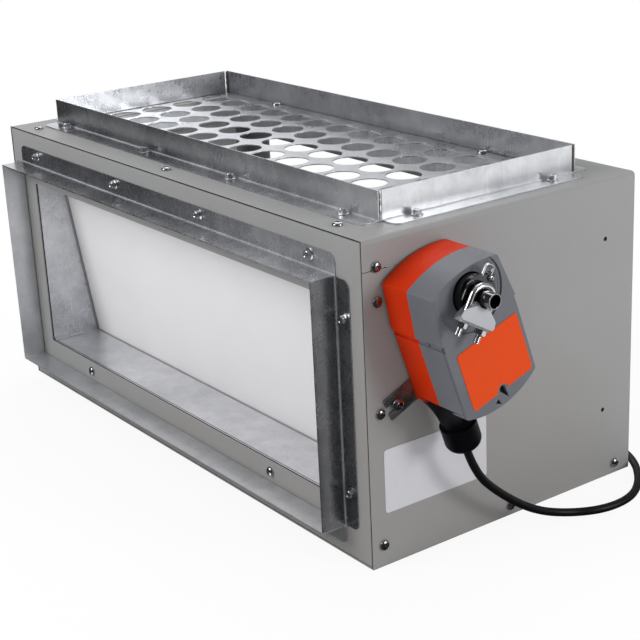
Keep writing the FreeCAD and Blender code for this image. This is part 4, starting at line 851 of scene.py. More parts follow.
def smooth_modifier(thing: bpy.types.Object, angle: float = 32.0) -> None:
    """Smooths the shading across edges flatter than an angle, by a modifier.

    Args:
        thing: the object.
        angle: the angle in degrees.
    """
    name = f"smooth_under_{round(angle)}"
    group = bpy.data.node_groups.get(name)
    if group is None:
        group = bpy.data.node_groups.new(name, "GeometryNodeTree")
        group.interface.new_socket("Geometry", in_out="INPUT", socket_type="NodeSocketGeometry")
        group.interface.new_socket("Geometry", in_out="OUTPUT", socket_type="NodeSocketGeometry")
        graph = Graph(group)
        bend = graph.node("GeometryNodeInputMeshEdgeAngle")
        flat = graph.node("FunctionNodeCompare", {"data_type": "FLOAT", "operation": "LESS_EQUAL"},
                          {0: bend, 1: math.radians(angle)})
        start = graph.node("NodeGroupInput")
        faces = graph.node("GeometryNodeSetShadeSmooth", {"domain": "FACE"}, {0: start})
        edges = graph.node("GeometryNodeSetShadeSmooth", {"domain": "EDGE"}, {0: faces, 2: flat})
        graph.made("NodeGroupOutput", {}, {0: edges})
    modifier = thing.modifiers.new("smooth", "NODES")
    modifier.node_group = group


def dress(node: str, finish: Finish, rim: float = 0.0) -> None:
    """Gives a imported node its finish, joins its loose vertices and softens its edges.

    Args:
        node: the node's name.
        finish: its finish.
        rim: width of the softened edges in millimetres, 0 for none.
    """
    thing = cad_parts[node]
    if not thing.material_slots:
        thing.data.materials.append(None)
    for slot in thing.material_slots:
        slot.link = "OBJECT"
        slot.material = finish.material()
    join = thing.modifiers.new("join", "WELD")
    join.merge_threshold = WELD
    if rim:
        soft = thing.modifiers.new("rim", "BEVEL")
        soft.width = rim * MM
        soft.segments = 2
        soft.limit_method = "ANGLE"
        soft.angle_limit = math.radians(50)
        soft.use_clamp_overlap = True
    smooth_modifier(thing)
    if rim:
        even = thing.modifiers.new("even", "WEIGHTED_NORMAL")
        even.keep_sharp = True
        even.weight = 100
    LOG.info("dressed %s in %s", node, finish.label)


def built(name: str, shape: Shape, finish: Finish, body: Body, replaces: Sequence[str] = (),
          angle: float = 32.0) -> bpy.types.Object:
    """Turns a shape into a piece that rides on a body.

    Args:
        name: the piece's name.
        shape: its mesh in millimetres.
        finish: its finish.
        body: the body it rides on.
        replaces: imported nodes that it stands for.
        angle: edges flatter than this are shaded smooth.

    Returns:
        The piece.
    """
    thing = shape.loose(name)
    thing.data.materials.append(finish.material())
    smooth_modifier(thing, angle)
    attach(thing, body.value)
    if replaces:
        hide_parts(*replaces)
    LOG.info("built %s with %d faces in %s", name, len(thing.data.polygons), finish.label)
    return thing


def about_tube(turn: float) -> Matrix:
    """The place of a piece made about the tube's axis, in millimetres.

    Args:
        turn: its turn about the tube in degrees.

    Returns:
        The matrix from the piece's own frame.
    """
    return Matrix.Translation((0.0, TUBE_Y, TUBE_Z)) @ Matrix.Rotation(math.radians(turn), 4, "X")


def frame_bead(inner: Sequence[float], width: float, low: float, high: float) -> Shape:
    """A rectangular ring of constant section, upright on the XZ plane.

    Args:
        inner: left, right, bottom and top of its inside.
        width: how wide the ring is.
        low: its nearest Y.
        high: its farthest Y.

    Returns:
        The ring.
    """
    left, right, bottom, top = inner
    inside = [(left, bottom), (right, bottom), (right, top), (left, top)]
    outside = [(left - width, bottom - width), (right + width, bottom - width), (right + width, top + width),
               (left - width, top + width)]
    levels = ((inside, low), (outside, low), (outside, high), (inside, high))
    shape = Shape()
    shape.looped([[Vector((x, y, z)) for x, z in points] for points, y in levels])
    return shape


# Sub-assemblies


@dataclass
class Studio:
    """Camera, floor and lamps. The camera stands where the photograph was taken from."""

    camera_place: Point = (1159.8, -796.7, 594.0)
    azimuth: float = 54.68
    elevation: float = 19.38
    roll: float = -2.82
    lens: float = 85.09
    sensor: float = 36.0
    clip: Pair = (0.05, 60.0)
    aim: Point = (0.0, 0.0, 130.0)
    floor_size: float = 16.0
    room_low: float = 0.3
    room_high: float = 0.55
    gloss_front: float = 0.03
    gloss_back: float = 1.2
    gloss_wall: float = 0.22

    def build(self) -> None:
        """Sets up everything that isn't part of the damper."""
        self.set_view()
        self.add_camera()
        self.add_world()
        self.add_floor()
        self.add_lamps()
        LOG.info("studio stands")

    def set_view(self) -> None:
        """Shows colours as they are written."""
        bpy.context.scene.view_settings.view_transform = "Standard"

    def add_camera(self) -> None:
        """Adds the camera with the fitted place, turn and lens."""
        turn = math.radians(self.azimuth)
        lift = math.radians(self.elevation)
        roll = math.radians(self.roll)
        back = Vector((math.sin(turn) * math.cos(lift), -math.cos(turn) * math.cos(lift), math.sin(lift)))
        right = (-back).cross(Vector((0, 0, 1))).normalized()
        up = right.cross(-back)
        rolled_right = right * math.cos(roll) + up * math.sin(roll)
        rolled_up = up * math.cos(roll) - right * math.sin(roll)
        axes = Matrix((rolled_right, rolled_up, back)).transposed().to_4x4()
        data = bpy.data.cameras.new("camera")
        data.lens = self.lens
        data.sensor_width = self.sensor
        data.clip_start, data.clip_end = self.clip
        camera = bpy.data.objects.new("camera", data)
        bpy.context.scene.collection.objects.link(camera)
        camera.matrix_world = Matrix.Translation(Vector(self.camera_place) * MM) @ axes
        bpy.context.scene.camera = camera

    def add_world(self) -> None:
        """Surrounds the damper with a room, white to the camera, with its bright wall at the back left."""
        world = bpy.data.worlds.new("room")
        bpy.context.scene.world = world
        world.use_nodes = True
        graph = Graph(world.node_tree)
        toward = graph.node("ShaderNodeTexCoord", output="Generated")
        height = graph.axis("Z", toward)
        rear = graph.axis("Y", toward)
        seen = graph.node("ShaderNodeLightPath", output="Is Camera Ray")
        shiny = graph.node("ShaderNodeLightPath", output="Is Glossy Ray")
        room = height.between(-0.05, 0.75, self.room_low, self.room_high)
        window = graph.axis("X", toward).between(-0.86, -0.66, self.gloss_back, self.gloss_wall)
        gloss = rear.between(-0.1, 0.4) * window + self.gloss_front + height.between(0.6, 1.0, 0.0, 0.25)
        strength = room * (1 - shiny) * (1 - seen) + gloss * shiny + seen
        tint = graph.mix(seen, (0.97, 0.985, 1.0), (1.0, 1.0, 1.0))
        background = graph.node("ShaderNodeBackground", {}, {"Color": tint, "Strength": strength})
        graph.made("ShaderNodeOutputWorld", {}, {"Surface": background})

    def add_floor(self) -> None:
        """Lays a plain pale floor that stays white far out and keeps the shadow close by; in reflections it
        turns black in front of the damper and to its right, a painted dark reflection.
        """
        shape = Shape()
        half = self.floor_size / 2 / MM
        corners = [(-half, -half), (half, -half), (half, half), (-half, half)]
        shape.cap(shape.ring(Vector((x, y, 0)) for x, y in corners))
        floor = shape.loose("floor")
        material = bpy.data.materials.new("floor_card")
        material.use_nodes = True
        graph = Graph(material.node_tree)
        out_by = graph.node("ShaderNodeVectorMath", {"operation": "LENGTH"}, {0: graph.place()}, "Value")
        seen = graph.node("ShaderNodeLightPath", output="Is Camera Ray")
        shiny = graph.node("ShaderNodeLightPath", output="Is Glossy Ray")
        # Painted dark reflection: only glossy rays see the floor black, in front of the damper and to the
        # right of the casing.
        beside = graph.axis("X").between(0.29, 0.34) * graph.axis("Y").between(0.18, 0.26, 1.0, 0.0)
        dark_in_reflections = shiny * graph.math("MAXIMUM", graph.axis("Y").between(-0.1, 0.34, 0.96, 0.0), beside * 0.96)
        share = seen * out_by.between(0.25, 0.7, 0.9, 1.0)
        tint = graph.mix(dark_in_reflections, (0.86, 0.86, 0.86), (0.0, 0.0, 0.0))
        card = graph.node("ShaderNodeBsdfDiffuse", {}, {"Color": tint})
        glow = graph.node("ShaderNodeEmission", {}, {"Color": (1.0, 1.0, 1.0, 1.0), "Strength": 1.0})
        blend = graph.node("ShaderNodeMixShader", {}, {0: share, 1: card, 2: glow})
        graph.made("ShaderNodeOutputMaterial", {}, {"Surface": blend})
        floor.data.materials.append(material)

    def add_lamps(self) -> None:
        """Hangs a large soft lamp behind, one in front, and one at the right."""
        self.lamp("key", (-800, 700, 2000), (1400, 1200), 13.0)
        self.lamp("front", (-500, -2000, 1650), (1500, 1200), 33.0)
        self.lamp("side", (2300, 900, 800), (800, 800), 23.0)

    def lamp(self, name: str, place: Point, size: Pair, power: float) -> None:
        """Adds one soft lamp that looks at the damper's middle.

        Args:
            name: the lamp's name.
            place: its place in millimetres.
            size: its width and height in millimetres.
            power: its power in watts.
        """
        data = bpy.data.lights.new(name, "AREA")
        data.shape = "RECTANGLE"
        data.size = size[0] * MM
        data.size_y = size[1] * MM
        data.energy = power
        light = bpy.data.objects.new(name, data)
        bpy.context.scene.collection.objects.link(light)
        start = Vector(place) * MM
        heading = Vector(self.aim) * MM - start
        light.matrix_world = Matrix.Translation(start) @ heading.to_track_quat("-Z", "Y").to_matrix().to_4x4()


@dataclass
class PowerCable:
    """The mains cable: out of the gland, down to the floor, and into its coil behind the casing."""

    diameter: float = 7.0
    floor_height: float = 3.6
    gland_mouth: Point = (331.0, -74.6, 97.73)
    gland_run: Point = (331.0, -65.48, 71.25)
    route: tuple[Point, ...] = (
        (331, -38, 44), (331.5, -2, 17.5), (334.5, 34, 3.6), (351, 64, 3.6), (350, 99, 3.6),
        (329.5, 130, 3.6), (297, 157, 3.6), (257, 170, 3.6), (214, 165, 3.6),
    )
    coil_centre: Pair = (170.0, 205.0)
    outer_turn: float = 41.5
    inner_turn: float = 34.5
    last_turn: float = 29.5
    turn_points: int = 16
    draw_start: float = 0.68
    core_length: float = 36.0
    core_tuck: float = 2.0
    core_gap: float = 1.25
    core_spread: float = 3.0
    core_sag: float = 1.6
    core_radius: float = 1.1
    core_points: int = 12
    tie_reach: float = 4.4
    tie_heights: Pair = (0.1, 7.6)
    tie_wall: float = 0.7
    tie_half: float = 2.2
    tie_turn: float = 60.0

    def build(self) -> None:
        """Builds the cable, its two cores and the tie round its coil."""
        cable = self.lay(self.points())
        cores = self.cores(cable)
        tie = self.tie()

    def points(self) -> list[Point]:
        """The route's points and the coil's turns, in millimetres.

        Returns:
            The control points in order.
        """
        points = [self.gland_mouth, self.gland_run, *self.route]
        # A quadratic spline runs inside the circle of its control points by this share
        cut_in = (3 + math.cos(math.tau / self.turn_points)) / 4
        for index in range(2 * self.turn_points + 1):
            turn = index / self.turn_points
            radius = self.outer_turn
            radius -= (self.outer_turn - self.inner_turn) * self.drawn_in(turn)
            radius -= (self.inner_turn - self.last_turn) * self.drawn_in(turn - 1)
            angle = -math.pi / 2 - math.tau * turn
            reach = radius / cut_in
            points.append((self.coil_centre[0] + reach * math.cos(angle),
                           self.coil_centre[1] + reach * math.sin(angle), self.floor_height))
        return points

    def drawn_in(self, turn: float) -> float:
        """How far one turn of the coil has drawn in at its end, from 0 to 1."""
        return min(1.0, max(0.0, (turn - self.draw_start) / (1 - self.draw_start)))

    def lay(self, points: Sequence[Point]) -> bpy.types.Object:
        """Lays the cable along its control points.

        Args:
            points: control points in millimetres.

        Returns:
            The cable.
        """
        data = bpy.data.curves.new("cable", "CURVE")
        data.dimensions = "3D"
        data.bevel_depth = self.diameter / 2 * MM
        data.bevel_resolution = 6
        data.resolution_u = 12
        data.use_fill_caps = True
        line = data.splines.new("NURBS")
        line.points.add(len(points) - 1)
        for target, point in zip(line.points, points):
            target.co = (*[c * MM for c in point], 1.0)
        line.order_u = 3
        line.use_endpoint_u = True
        cable = bpy.data.objects.new("cable", data)
        bpy.context.scene.collection.objects.link(cable)
        data.materials.append(JACKET.material())
        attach(cable, Body.CASING.value)
        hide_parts("cable_lead", "cable_coil")
        LOG.info("laid the cable through %d points", len(points))
        return cable

    def end_of(self, cable: bpy.types.Object) -> tuple[Vector, Vector]:
        """The cable's far end and the direction it points in, in millimetres.

        Args:
            cable: the cable's object.

        Returns:
            The end and its direction.
        """
        line = cable.data.copy()
        line.bevel_depth = 0.0
        thread = bpy.data.objects.new("thread", line)
        bpy.context.scene.collection.objects.link(thread)
        bpy.context.view_layer.update()
        mesh = bpy.data.meshes.new_from_object(thread)
        before, last = [vertex.co / MM for vertex in mesh.vertices[-2:]]
        bpy.data.objects.remove(thread)
        bpy.data.meshes.remove(mesh)
        return last, (last - before).normalized()

    def cores(self, cable: bpy.types.Object) -> bpy.types.Object:
        """Two bare copper cores that leave the jacket's end and spread.

        Args:
            cable: the cable's object.

        Returns:
            Both cores as one piece.
        """
        end, heading = self.end_of(cable)
        side = Vector((-heading.y, heading.x, 0))
        shape = Shape()
        for lean in (-1, 1):
            path = []
            for index in range(self.core_points + 1):
                run = index / self.core_points
                spread = lean * (self.core_gap + self.core_spread * run * run)
                reach = heading * (run * self.core_length - self.core_tuck)
                path.append(end + reach + side * spread + Vector((0, 0, -self.core_sag * run)))
            shape.swept(path, self.strands, 21)
        return built("cable_cores", shape, COPPER, Body.CASING, ["cable_tails"])

    def strands(self, run: float, angle: float) -> float:
        """A core's radius, with seven strands twisted along its run."""
        return self.core_radius * (1 + 0.05 * math.sin(7 * angle + run * 1.2))

    def tie(self) -> bpy.types.Object:
        """A flat tie that holds the coil's two turns together.

        Returns:
            The tie.
        """
        inside, outside = self.inner_turn - self.tie_reach, self.outer_turn + self.tie_reach
        low, high = self.tie_heights
        outline = [(inside, low), (outside, low), (outside, high), (inside, high)]
        hole = inset(outline, self.tie_wall)
        half = self.tie_half
        shape = Shape()
        shape.looped([[Vector((x, y, z)) for x, z in points]
                      for points, y in ((outline, -half), (outline, half), (hole, half), (hole, -half))])
        turn = Matrix.Rotation(math.radians(self.tie_turn), 4, "Z")
        placed = shape.moved(Matrix.Translation((*self.coil_centre, 0)) @ turn)
        return built("coil_tie", placed, BLACK, Body.CASING)


@dataclass
class Casing:
    """The painted box: wrap, end panels, pan and their lining."""

    rim: float = 0.3
    foam_rim: float = 0.6
    lap_width: float = 0.8
    lap_inset: Pair = (0.3, 0.25)
    lap_foot: float = 1.0
    lap_span: Pair = (-HALF_DEPTH - 0.06, -HALF_DEPTH + 0.1)
    hole_radius: float = 1.97
    hole_row: float = 112.6
    hole_heights: Pair = (65.6, 222.4)
    hole_depth: float = 0.5
    disc_thickness: float = 0.1

    def build(self) -> None:
        """Dresses the box's sheets and the foam inside, and paints the shadow lines at the lid's lap."""
        for node in ("cabinet_wrap", "front_panel", "rear_panel", "bottom_pan"):
            dress(node, PAINT, self.rim)
        for node in ("insulation_left", "insulation_right", "insulation_floor"):
            dress(node, LINING, self.foam_rim)
        self.laps()
        self.hole_shade()

    def laps(self) -> None:
        """Runs the fine painted shadow lines where the front panel meets the wrap, over the top and down both
        sides.
        """
        reach, top = HALF_LENGTH - self.lap_inset[0], HEIGHT - self.lap_inset[1]
        near, far = self.lap_span
        wide, foot = self.lap_width, self.lap_foot
        shape = Shape()
        for left, right, low in ((-reach + wide, reach - wide, top - wide), (-reach, -reach + wide, foot),
                                 (reach - wide, reach, foot)):
            shape.drawn([(left, near), (right, near), (right, far), (left, far)], low, top)
        built("front_lap_shadow_lines", shape, SEAM_SHADE, Body.CASING)

    def hole_shade(self) -> None:
        """Sinks a dark disc into each hanger hole, where no light reaches."""
        disc = Shape()
        disc.turned([(self.hole_radius, -self.disc_thickness), (self.hole_radius, 0.0)], 24)
        shape = Shape()
        for facing, side in ((Facing.RIGHT, 1), (Facing.LEFT, -1)):
            for z in self.hole_heights:
                seat = Matrix.Translation((side * (HALF_LENGTH - self.hole_depth), self.hole_row, z))
                shape.add(disc, seat @ facing.matrix())
        built("hanger_hole_shade", shape, WELL_SHADE, Body.CASING)


@dataclass
class Throats:
    """The galvanised throats between the openings and the blade, with their gaskets."""

    rim: float = 0.2
    gasket_rim: float = 0.4
    opening: tuple[float, ...] = (-254.4, 245.6, 48.0, 221.0)
    seam_width: float = 1.3
    seam_span: Pair = (-145.95, -144.7)
    hem_span: Pair = (-142.2, -141.7)
    hem_overhang: float = 0.9
    hem_depths: Pair = (1.0, 0.85)
    bead_start: float = -143.5
    bead_length: int = 35
    bead_radius: float = 1.25
    bead_ripple: float = 0.45
    bead_inset: float = 0.4

    def build(self) -> None:
        """Dresses the strips and the gaskets."""
        # The shelf takes the lighter copy of the zinc, painted light.
        dress("front_seat_shelf", LIT_ZINC, self.rim)
        for side in ("head", "cheek_left", "cheek_right"):
            dress(f"front_seat_{side}", ZINC, self.rim)
        for side in ("front", "back", "left", "right"):
            dress(f"top_seat_{side}", ZINC, self.rim)
        for node in ("front_gasket", "top_gasket"):
            dress(node, GASKET, self.gasket_rim)
        self.seams()
        self.corner_beads()

    def seams(self) -> None:
        """Runs the painted shadow of the joint between the front panel and the throat, and of the shelf's hem
        line.
        """
        seam = frame_bead(self.opening, self.seam_width, *self.seam_span)
        built("throat_seam_shadow", seam, SEAM_SHADE, Body.CASING)
        left, right, bottom, _ = self.opening
        left, right = left - self.hem_overhang, right + self.hem_overhang
        near, far = self.hem_span
        low, high = [bottom - depth for depth in self.hem_depths]
        hem = Shape()
        hem.drawn([(left, near), (right, near), (right, far), (left, far)], low, high)
        built("shelf_hem_shadow", hem, SEAM_SHADE, Body.CASING)

    def corner_beads(self) -> None:
        """Wipes an uneven bead of sealant into the throat's two lower corners."""
        left, right, bottom, _ = self.opening

        def bead(run: float, angle: float) -> float:
            """The bead's radius, uneven along its run."""
            return self.bead_radius + self.bead_ripple * math.sin(run * 0.55) * math.sin(run * 0.21 + 1)

        shape = Shape()
        z = bottom - self.bead_inset
        for x in (left - self.bead_inset, right + self.bead_inset):
            path = [Vector((x, self.bead_start + step, z)) for step in range(self.bead_length + 1)]
            shape.swept(path, bead, 12)
        built("throat_sealant", shape, SEALANT, Body.CASING, angle=60.0)


@dataclass
class Collars:
    """The duct collars on the front and the top, and the perforated plate."""

    rim: float = 0.25
    plate_rim: float = 0.15
    corner_columns: Pair = (-271.6, 266.6)
    corner_rows: Pair = (-103.4, 106.4)
    corner_foot: float = 276.2
    corner_height: float = 22.8
    bead_radius: float = 1.45
    bead_ripple: float = 0.14
    bead_steps: int = 19
    front_fold: tuple[float, ...] = (-276.95, 266.55, 27.5, 241.5)
    front_face: float = -HALF_DEPTH - SHEET
    top_fold: tuple[float, ...] = (-273.0, 268.0, -105.0, 108.0)
    top_face: float = HEIGHT + SHEET
    fold_width: float = 0.8

    def build(self) -> None:
        """Dresses the eight strips and the plate."""
        # The front collar's strips and the top collar's front strip take shaded and lit copies of the zinc:
        # painted shade and painted light.
        for node in ("front_collar_top", "top_collar_front"):
            dress(node, SHADED_ZINC_PALING_RIGHT, self.rim)
        dress("front_collar_right", SHADED_ZINC, self.rim)
        for node in ("front_collar_left", "front_collar_bottom"):
            dress(node, LIT_ZINC, self.rim)
        for node in ("top_collar_back", "top_collar_left", "top_collar_right"):
            dress(node, ZINC, self.rim)
        dress("perforated_plate", ZINC, self.plate_rim)
        self.corner_sealant()
        self.fold_highlights()

    def fold_highlights(self) -> None:
        """Lays a pale strip along the bends of both collars, a painted highlight on the bends."""
        wide = self.fold_width
        shape = frame_bead(self.front_fold, wide, self.front_face - wide, self.front_face)
        lying = frame_bead(self.top_fold, wide, -self.top_face - wide, -self.top_face)
        shape.add(lying, Matrix.Rotation(math.radians(-90), 4, "X"))
        built("collar_fold_highlights", shape, FOLD_HIGHLIGHT, Body.CASING)

    def corner_sealant(self) -> None:
        """Fills the open corners of the top collar's standing legs."""
        levels = [self.corner_foot + self.corner_height * step / self.bead_steps
                  for step in range(self.bead_steps + 1)]
        shape = Shape()
        for x in self.corner_columns:
            for y in self.corner_rows:
                path = [Vector((x, y, level)) for level in levels]
                shape.swept(path, lambda run, angle: self.bead(run, x), 12)
        built("collar_corner_sealant", shape, OLD_SEALANT, Body.CASING, angle=60.0)

    def bead(self, run: float, column: float) -> float:
        """The sealant's radius, uneven along its run and different in the two columns."""
        return self.bead_radius + self.bead_ripple * math.sin(run * 0.9 + column)


@dataclass(frozen=True)
class ScrewForms:
    """The forms of the sheet-metal screws, made head up with the head's seat at the origin."""

    shank: float = 4.2
    shank_length: float = 8.0
    point_length: float = 2.0
    point_radius: float = 0.4
    hex_width: float = 6.4
    hex_height: float = 3.6
    washer: float = 10.0
    washer_height: float = 1.0
    wing_reach: float = 0.29
    wing_half: float = 0.062
    recess_depth: float = 0.62
    recess_taper: float = 0.25

    def dome(self, diameter: float, height: float) -> list[Pair]:
        """The profile of a pan head.

        Args:
            diameter: its diameter.
            height: its height.

        Returns:
            Pairs of radius and height from the rim to the top.
        """
        radius = diameter / 2
        profile = [(radius * 0.97, 0.0), (radius, height * 0.12), (radius, height * 0.3)]
        for angle in (math.radians(10 * step) for step in range(1, 9)):
            profile.append((radius * (0.25 + 0.75 * math.cos(angle)), height * (0.3 + 0.7 * math.sin(angle))))
        profile.append((radius * 0.12, height))
        return profile

    def pan_screw(self, diameter: float, height: float) -> Shape:
        """A pan-head screw with a cross recess, head up.

        Args:
            diameter: the head's diameter.
            height: the head's height.

        Returns:
            The screw.
        """
        head = Shape()
        head.turned(self.dome(diameter, height))
        wide, half = diameter * self.wing_reach, diameter * self.wing_half
        narrow = wide * self.recess_taper
        above, floor = height + 0.5, height - height * self.recess_depth
        outline = [(-wide, above), (-narrow, floor), (narrow, floor), (wide, above)]
        wing = Shape()
        wing.stack([[Vector((x, y, z)) for x, z in outline] for y in (-half, half)])
        screw = head.carved(*[wing.moved(Matrix.Rotation(turn, 4, "Z")) for turn in (0, math.pi / 2)])
        screw.turned(self.pointed_shank(), 16)
        return screw

    def pointed_shank(self) -> list[Pair]:
        """The profile of a screw's shank, from its point up to its head."""
        radius, foot = self.shank / 2, -self.shank_length
        return [(self.point_radius, foot), (radius, foot + self.point_length), (radius, 0)]

    def hex_screw(self) -> Shape:
        """A hex head on its washer, with a dished top, head up.

        Returns:
            The screw.
        """
        screw = Shape()
        rim = self.washer / 2
        thick = self.washer_height
        screw.turned([(rim - 0.3, 0.0), (rim, 0.25), (rim, thick * 0.55), (rim - 0.5, thick * 0.85),
                      (self.hex_width * 0.55, thick)])
        top = thick + self.hex_height
        apothem = self.hex_width / 2
        crown = apothem * 0.96
        steps = 48
        rings: list[list[Vector]] = [[] for _ in range(5)]
        for step in range(steps):
            angle = math.tau * step / steps
            reach = apothem / math.cos(from_flat(angle))
            profile = [(reach, thick * 0.8), (reach, top - 0.2 - (reach - crown) * 0.5), (crown, top),
                       (crown * 0.72, top), (crown * 0.58, top - 0.35)]
            for ring, (radius, z) in zip(rings, profile):
                ring.append(Vector((radius * math.cos(angle), radius * math.sin(angle), z)))
        screw.stack(rings)
        screw.turned(self.pointed_shank(), 16)
        return screw


SCREWS = ScrewForms()


@dataclass
class Fasteners:
    """Every screw of the casing, its collars and the blade."""

    head: float = 9.0
    head_height: float = 3.0
    lean: float = 8.0
    blade_head: float = 8.0
    blade_head_height: float = 2.2
    side_places: tuple[Pair, ...] = (
        (-134.0, 252.6), (-134.0, 224.4), (-134.6, 132.6), (-135.4, 19.2), (2.2, 9.4), (128.2, 10.0),
    )
    top_row: float = -132.6
    top_columns: tuple[float, ...] = (-262.0, -6.0, 252.0)
    plate_row: float = 101.4
    plate_columns: tuple[float, ...] = (-169.0, 158.0)
    throat_rows: tuple[float, ...] = (37.7, 231.3)
    throat_columns: tuple[float, ...] = (-166.9, 158.1)
    front_middle: Pair = (-5.2, 134.5)
    front_reach: Pair = (282.05, 117.3)
    front_columns: tuple[float, ...] = (-236.0, -73.0, 77.0, 240.0)
    front_rows: tuple[float, ...] = (-74.0, 74.0)
    lid_middle: Pair = (-2.5, 1.5)
    lid_reach: Pair = (277.5, 113.5)
    lid_columns: tuple[float, ...] = (-237.5, -78.3, 70.5, 234.0)
    lid_rows: tuple[float, ...] = (-73.5, 73.5)

    def build(self) -> None:
        """Makes each kind of screw once and sets it at all its places."""
        pan = SCREWS.pan_screw(self.head, self.head_height)
        right, left = [[(x, y, z) for y, z in self.side_places] for x in (HALF_LENGTH, -HALF_LENGTH)]
        self.group("casing_screws_right", pan, Facing.RIGHT, right)
        self.group("casing_screws_left", pan, Facing.LEFT, left)
        top = [(x, self.top_row, HEIGHT) for x in self.top_columns]
        self.group("casing_screws_top", pan, Facing.UP, top)
        plate = [(x, self.plate_row, HEIGHT + SHEET) for x in self.plate_columns]
        self.group("plate_screws", pan, Facing.UP, plate)
        throat = [(x, -HALF_DEPTH, z) for z in self.throat_rows for x in self.throat_columns]
        self.group("throat_screws", pan, Facing.FRONT, throat)
        flanged = SCREWS.hex_screw()
        sides = self.around(self.front_middle, self.front_reach, self.front_columns, self.front_rows)
        front = [(x, -HALF_DEPTH - SHEET, z) for x, z in sides]
        self.group("front_collar_screws", flanged, Facing.FRONT, front, HEX_ZINC)
        sides = self.around(self.lid_middle, self.lid_reach, self.lid_columns, self.lid_rows)
        lid = [(x, y, HEIGHT + SHEET) for x, y in sides]
        self.group("top_collar_screws", flanged, Facing.UP, lid, HEX_ZINC)
        self.blade_group()

    def group(self, node: str, screw: Shape, facing: Facing, places: Iterable[Point],
              finish: Finish = SCREW_ZINC) -> None:
        """Sets copies of a screw at its places, each turned its own way, instead of a node.

        Args:
            node: the node they stand for.
            screw: the screw, head up.
            facing: where the heads look.
            places: seats of the heads in millimetres.
            finish: the plate on them.
        """
        shape = Shape()
        for index, place in enumerate(places):
            spin = Matrix.Rotation(math.radians(37 * index + 11), 4, "Z")
            shape.add(screw, Matrix.Translation(place) @ facing.matrix() @ spin)
        built(f"{node}_detail", shape, finish, Body.CASING, [node])

    def blade_group(self) -> None:
        """Sets the blade's screws in its rear skin, in the plane of the hanging blade."""
        screw = SCREWS.pan_screw(self.blade_head, self.blade_head_height)
        shape = Shape()
        hang = about_tube(self.lean)
        low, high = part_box("blade_screws")
        half = self.blade_head / 2
        for x in (low.x / MM + half, (low.x + high.x) / 2 / MM, high.x / MM - half):
            seat = hang @ Matrix.Translation((x, self.blade_rear(), 0)) @ Facing.BACK.matrix()
            shape.add(screw, seat)
        built("blade_screws_detail", shape, SCREW_ZINC, Body.BLADE, ["blade_screws"])

    def blade_rear(self) -> float:
        """How far the blade's rear skin lies behind its tube's middle.

        Returns:
            The distance in millimetres.
        """
        lean = math.radians(self.lean)
        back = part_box("blade_screws")[1].y / MM - TUBE_Y
        return (back - self.blade_head / 2 * math.sin(lean)) / math.cos(lean) - self.blade_head_height

    @staticmethod
    def around(middle: Pair, reach: Pair, columns: Sequence[float], rows: Sequence[float]) -> list[Pair]:
        """Screw places on the four sides of a collar, in its own plane.

        Args:
            middle: the collar's middle.
            reach: half the distance between the screws of opposite sides, across and up.
            columns: places along the two long sides, from the middle.
            rows: places along the two short sides, from the middle.

        Returns:
            The places in millimetres.
        """
        places = [(middle[0] + x, middle[1] + side * reach[1]) for x in columns for side in (-1, 1)]
        return places + [(middle[0] + side * reach[0], middle[1] + y) for y in rows for side in (-1, 1)]


@dataclass
class Blade:
    """The insulated blade and its tube."""

    def build(self) -> None:
        """Dresses the skins, the core and the tube with its bushes."""
        dress("blade_front_skin", BLADE_WHITE, rim=0.6)
        dress("blade_rear_skin", BLADE_WHITE, rim=0.2)
        dress("blade_core", LINING)
        dress("blade_shaft", TUBE_STEEL_DARK_REFLECTION, rim=0.2)
        dress("shaft_bush_left", BUSH, rim=0.3)
        dress("shaft_bush_right", BUSH, rim=0.3)


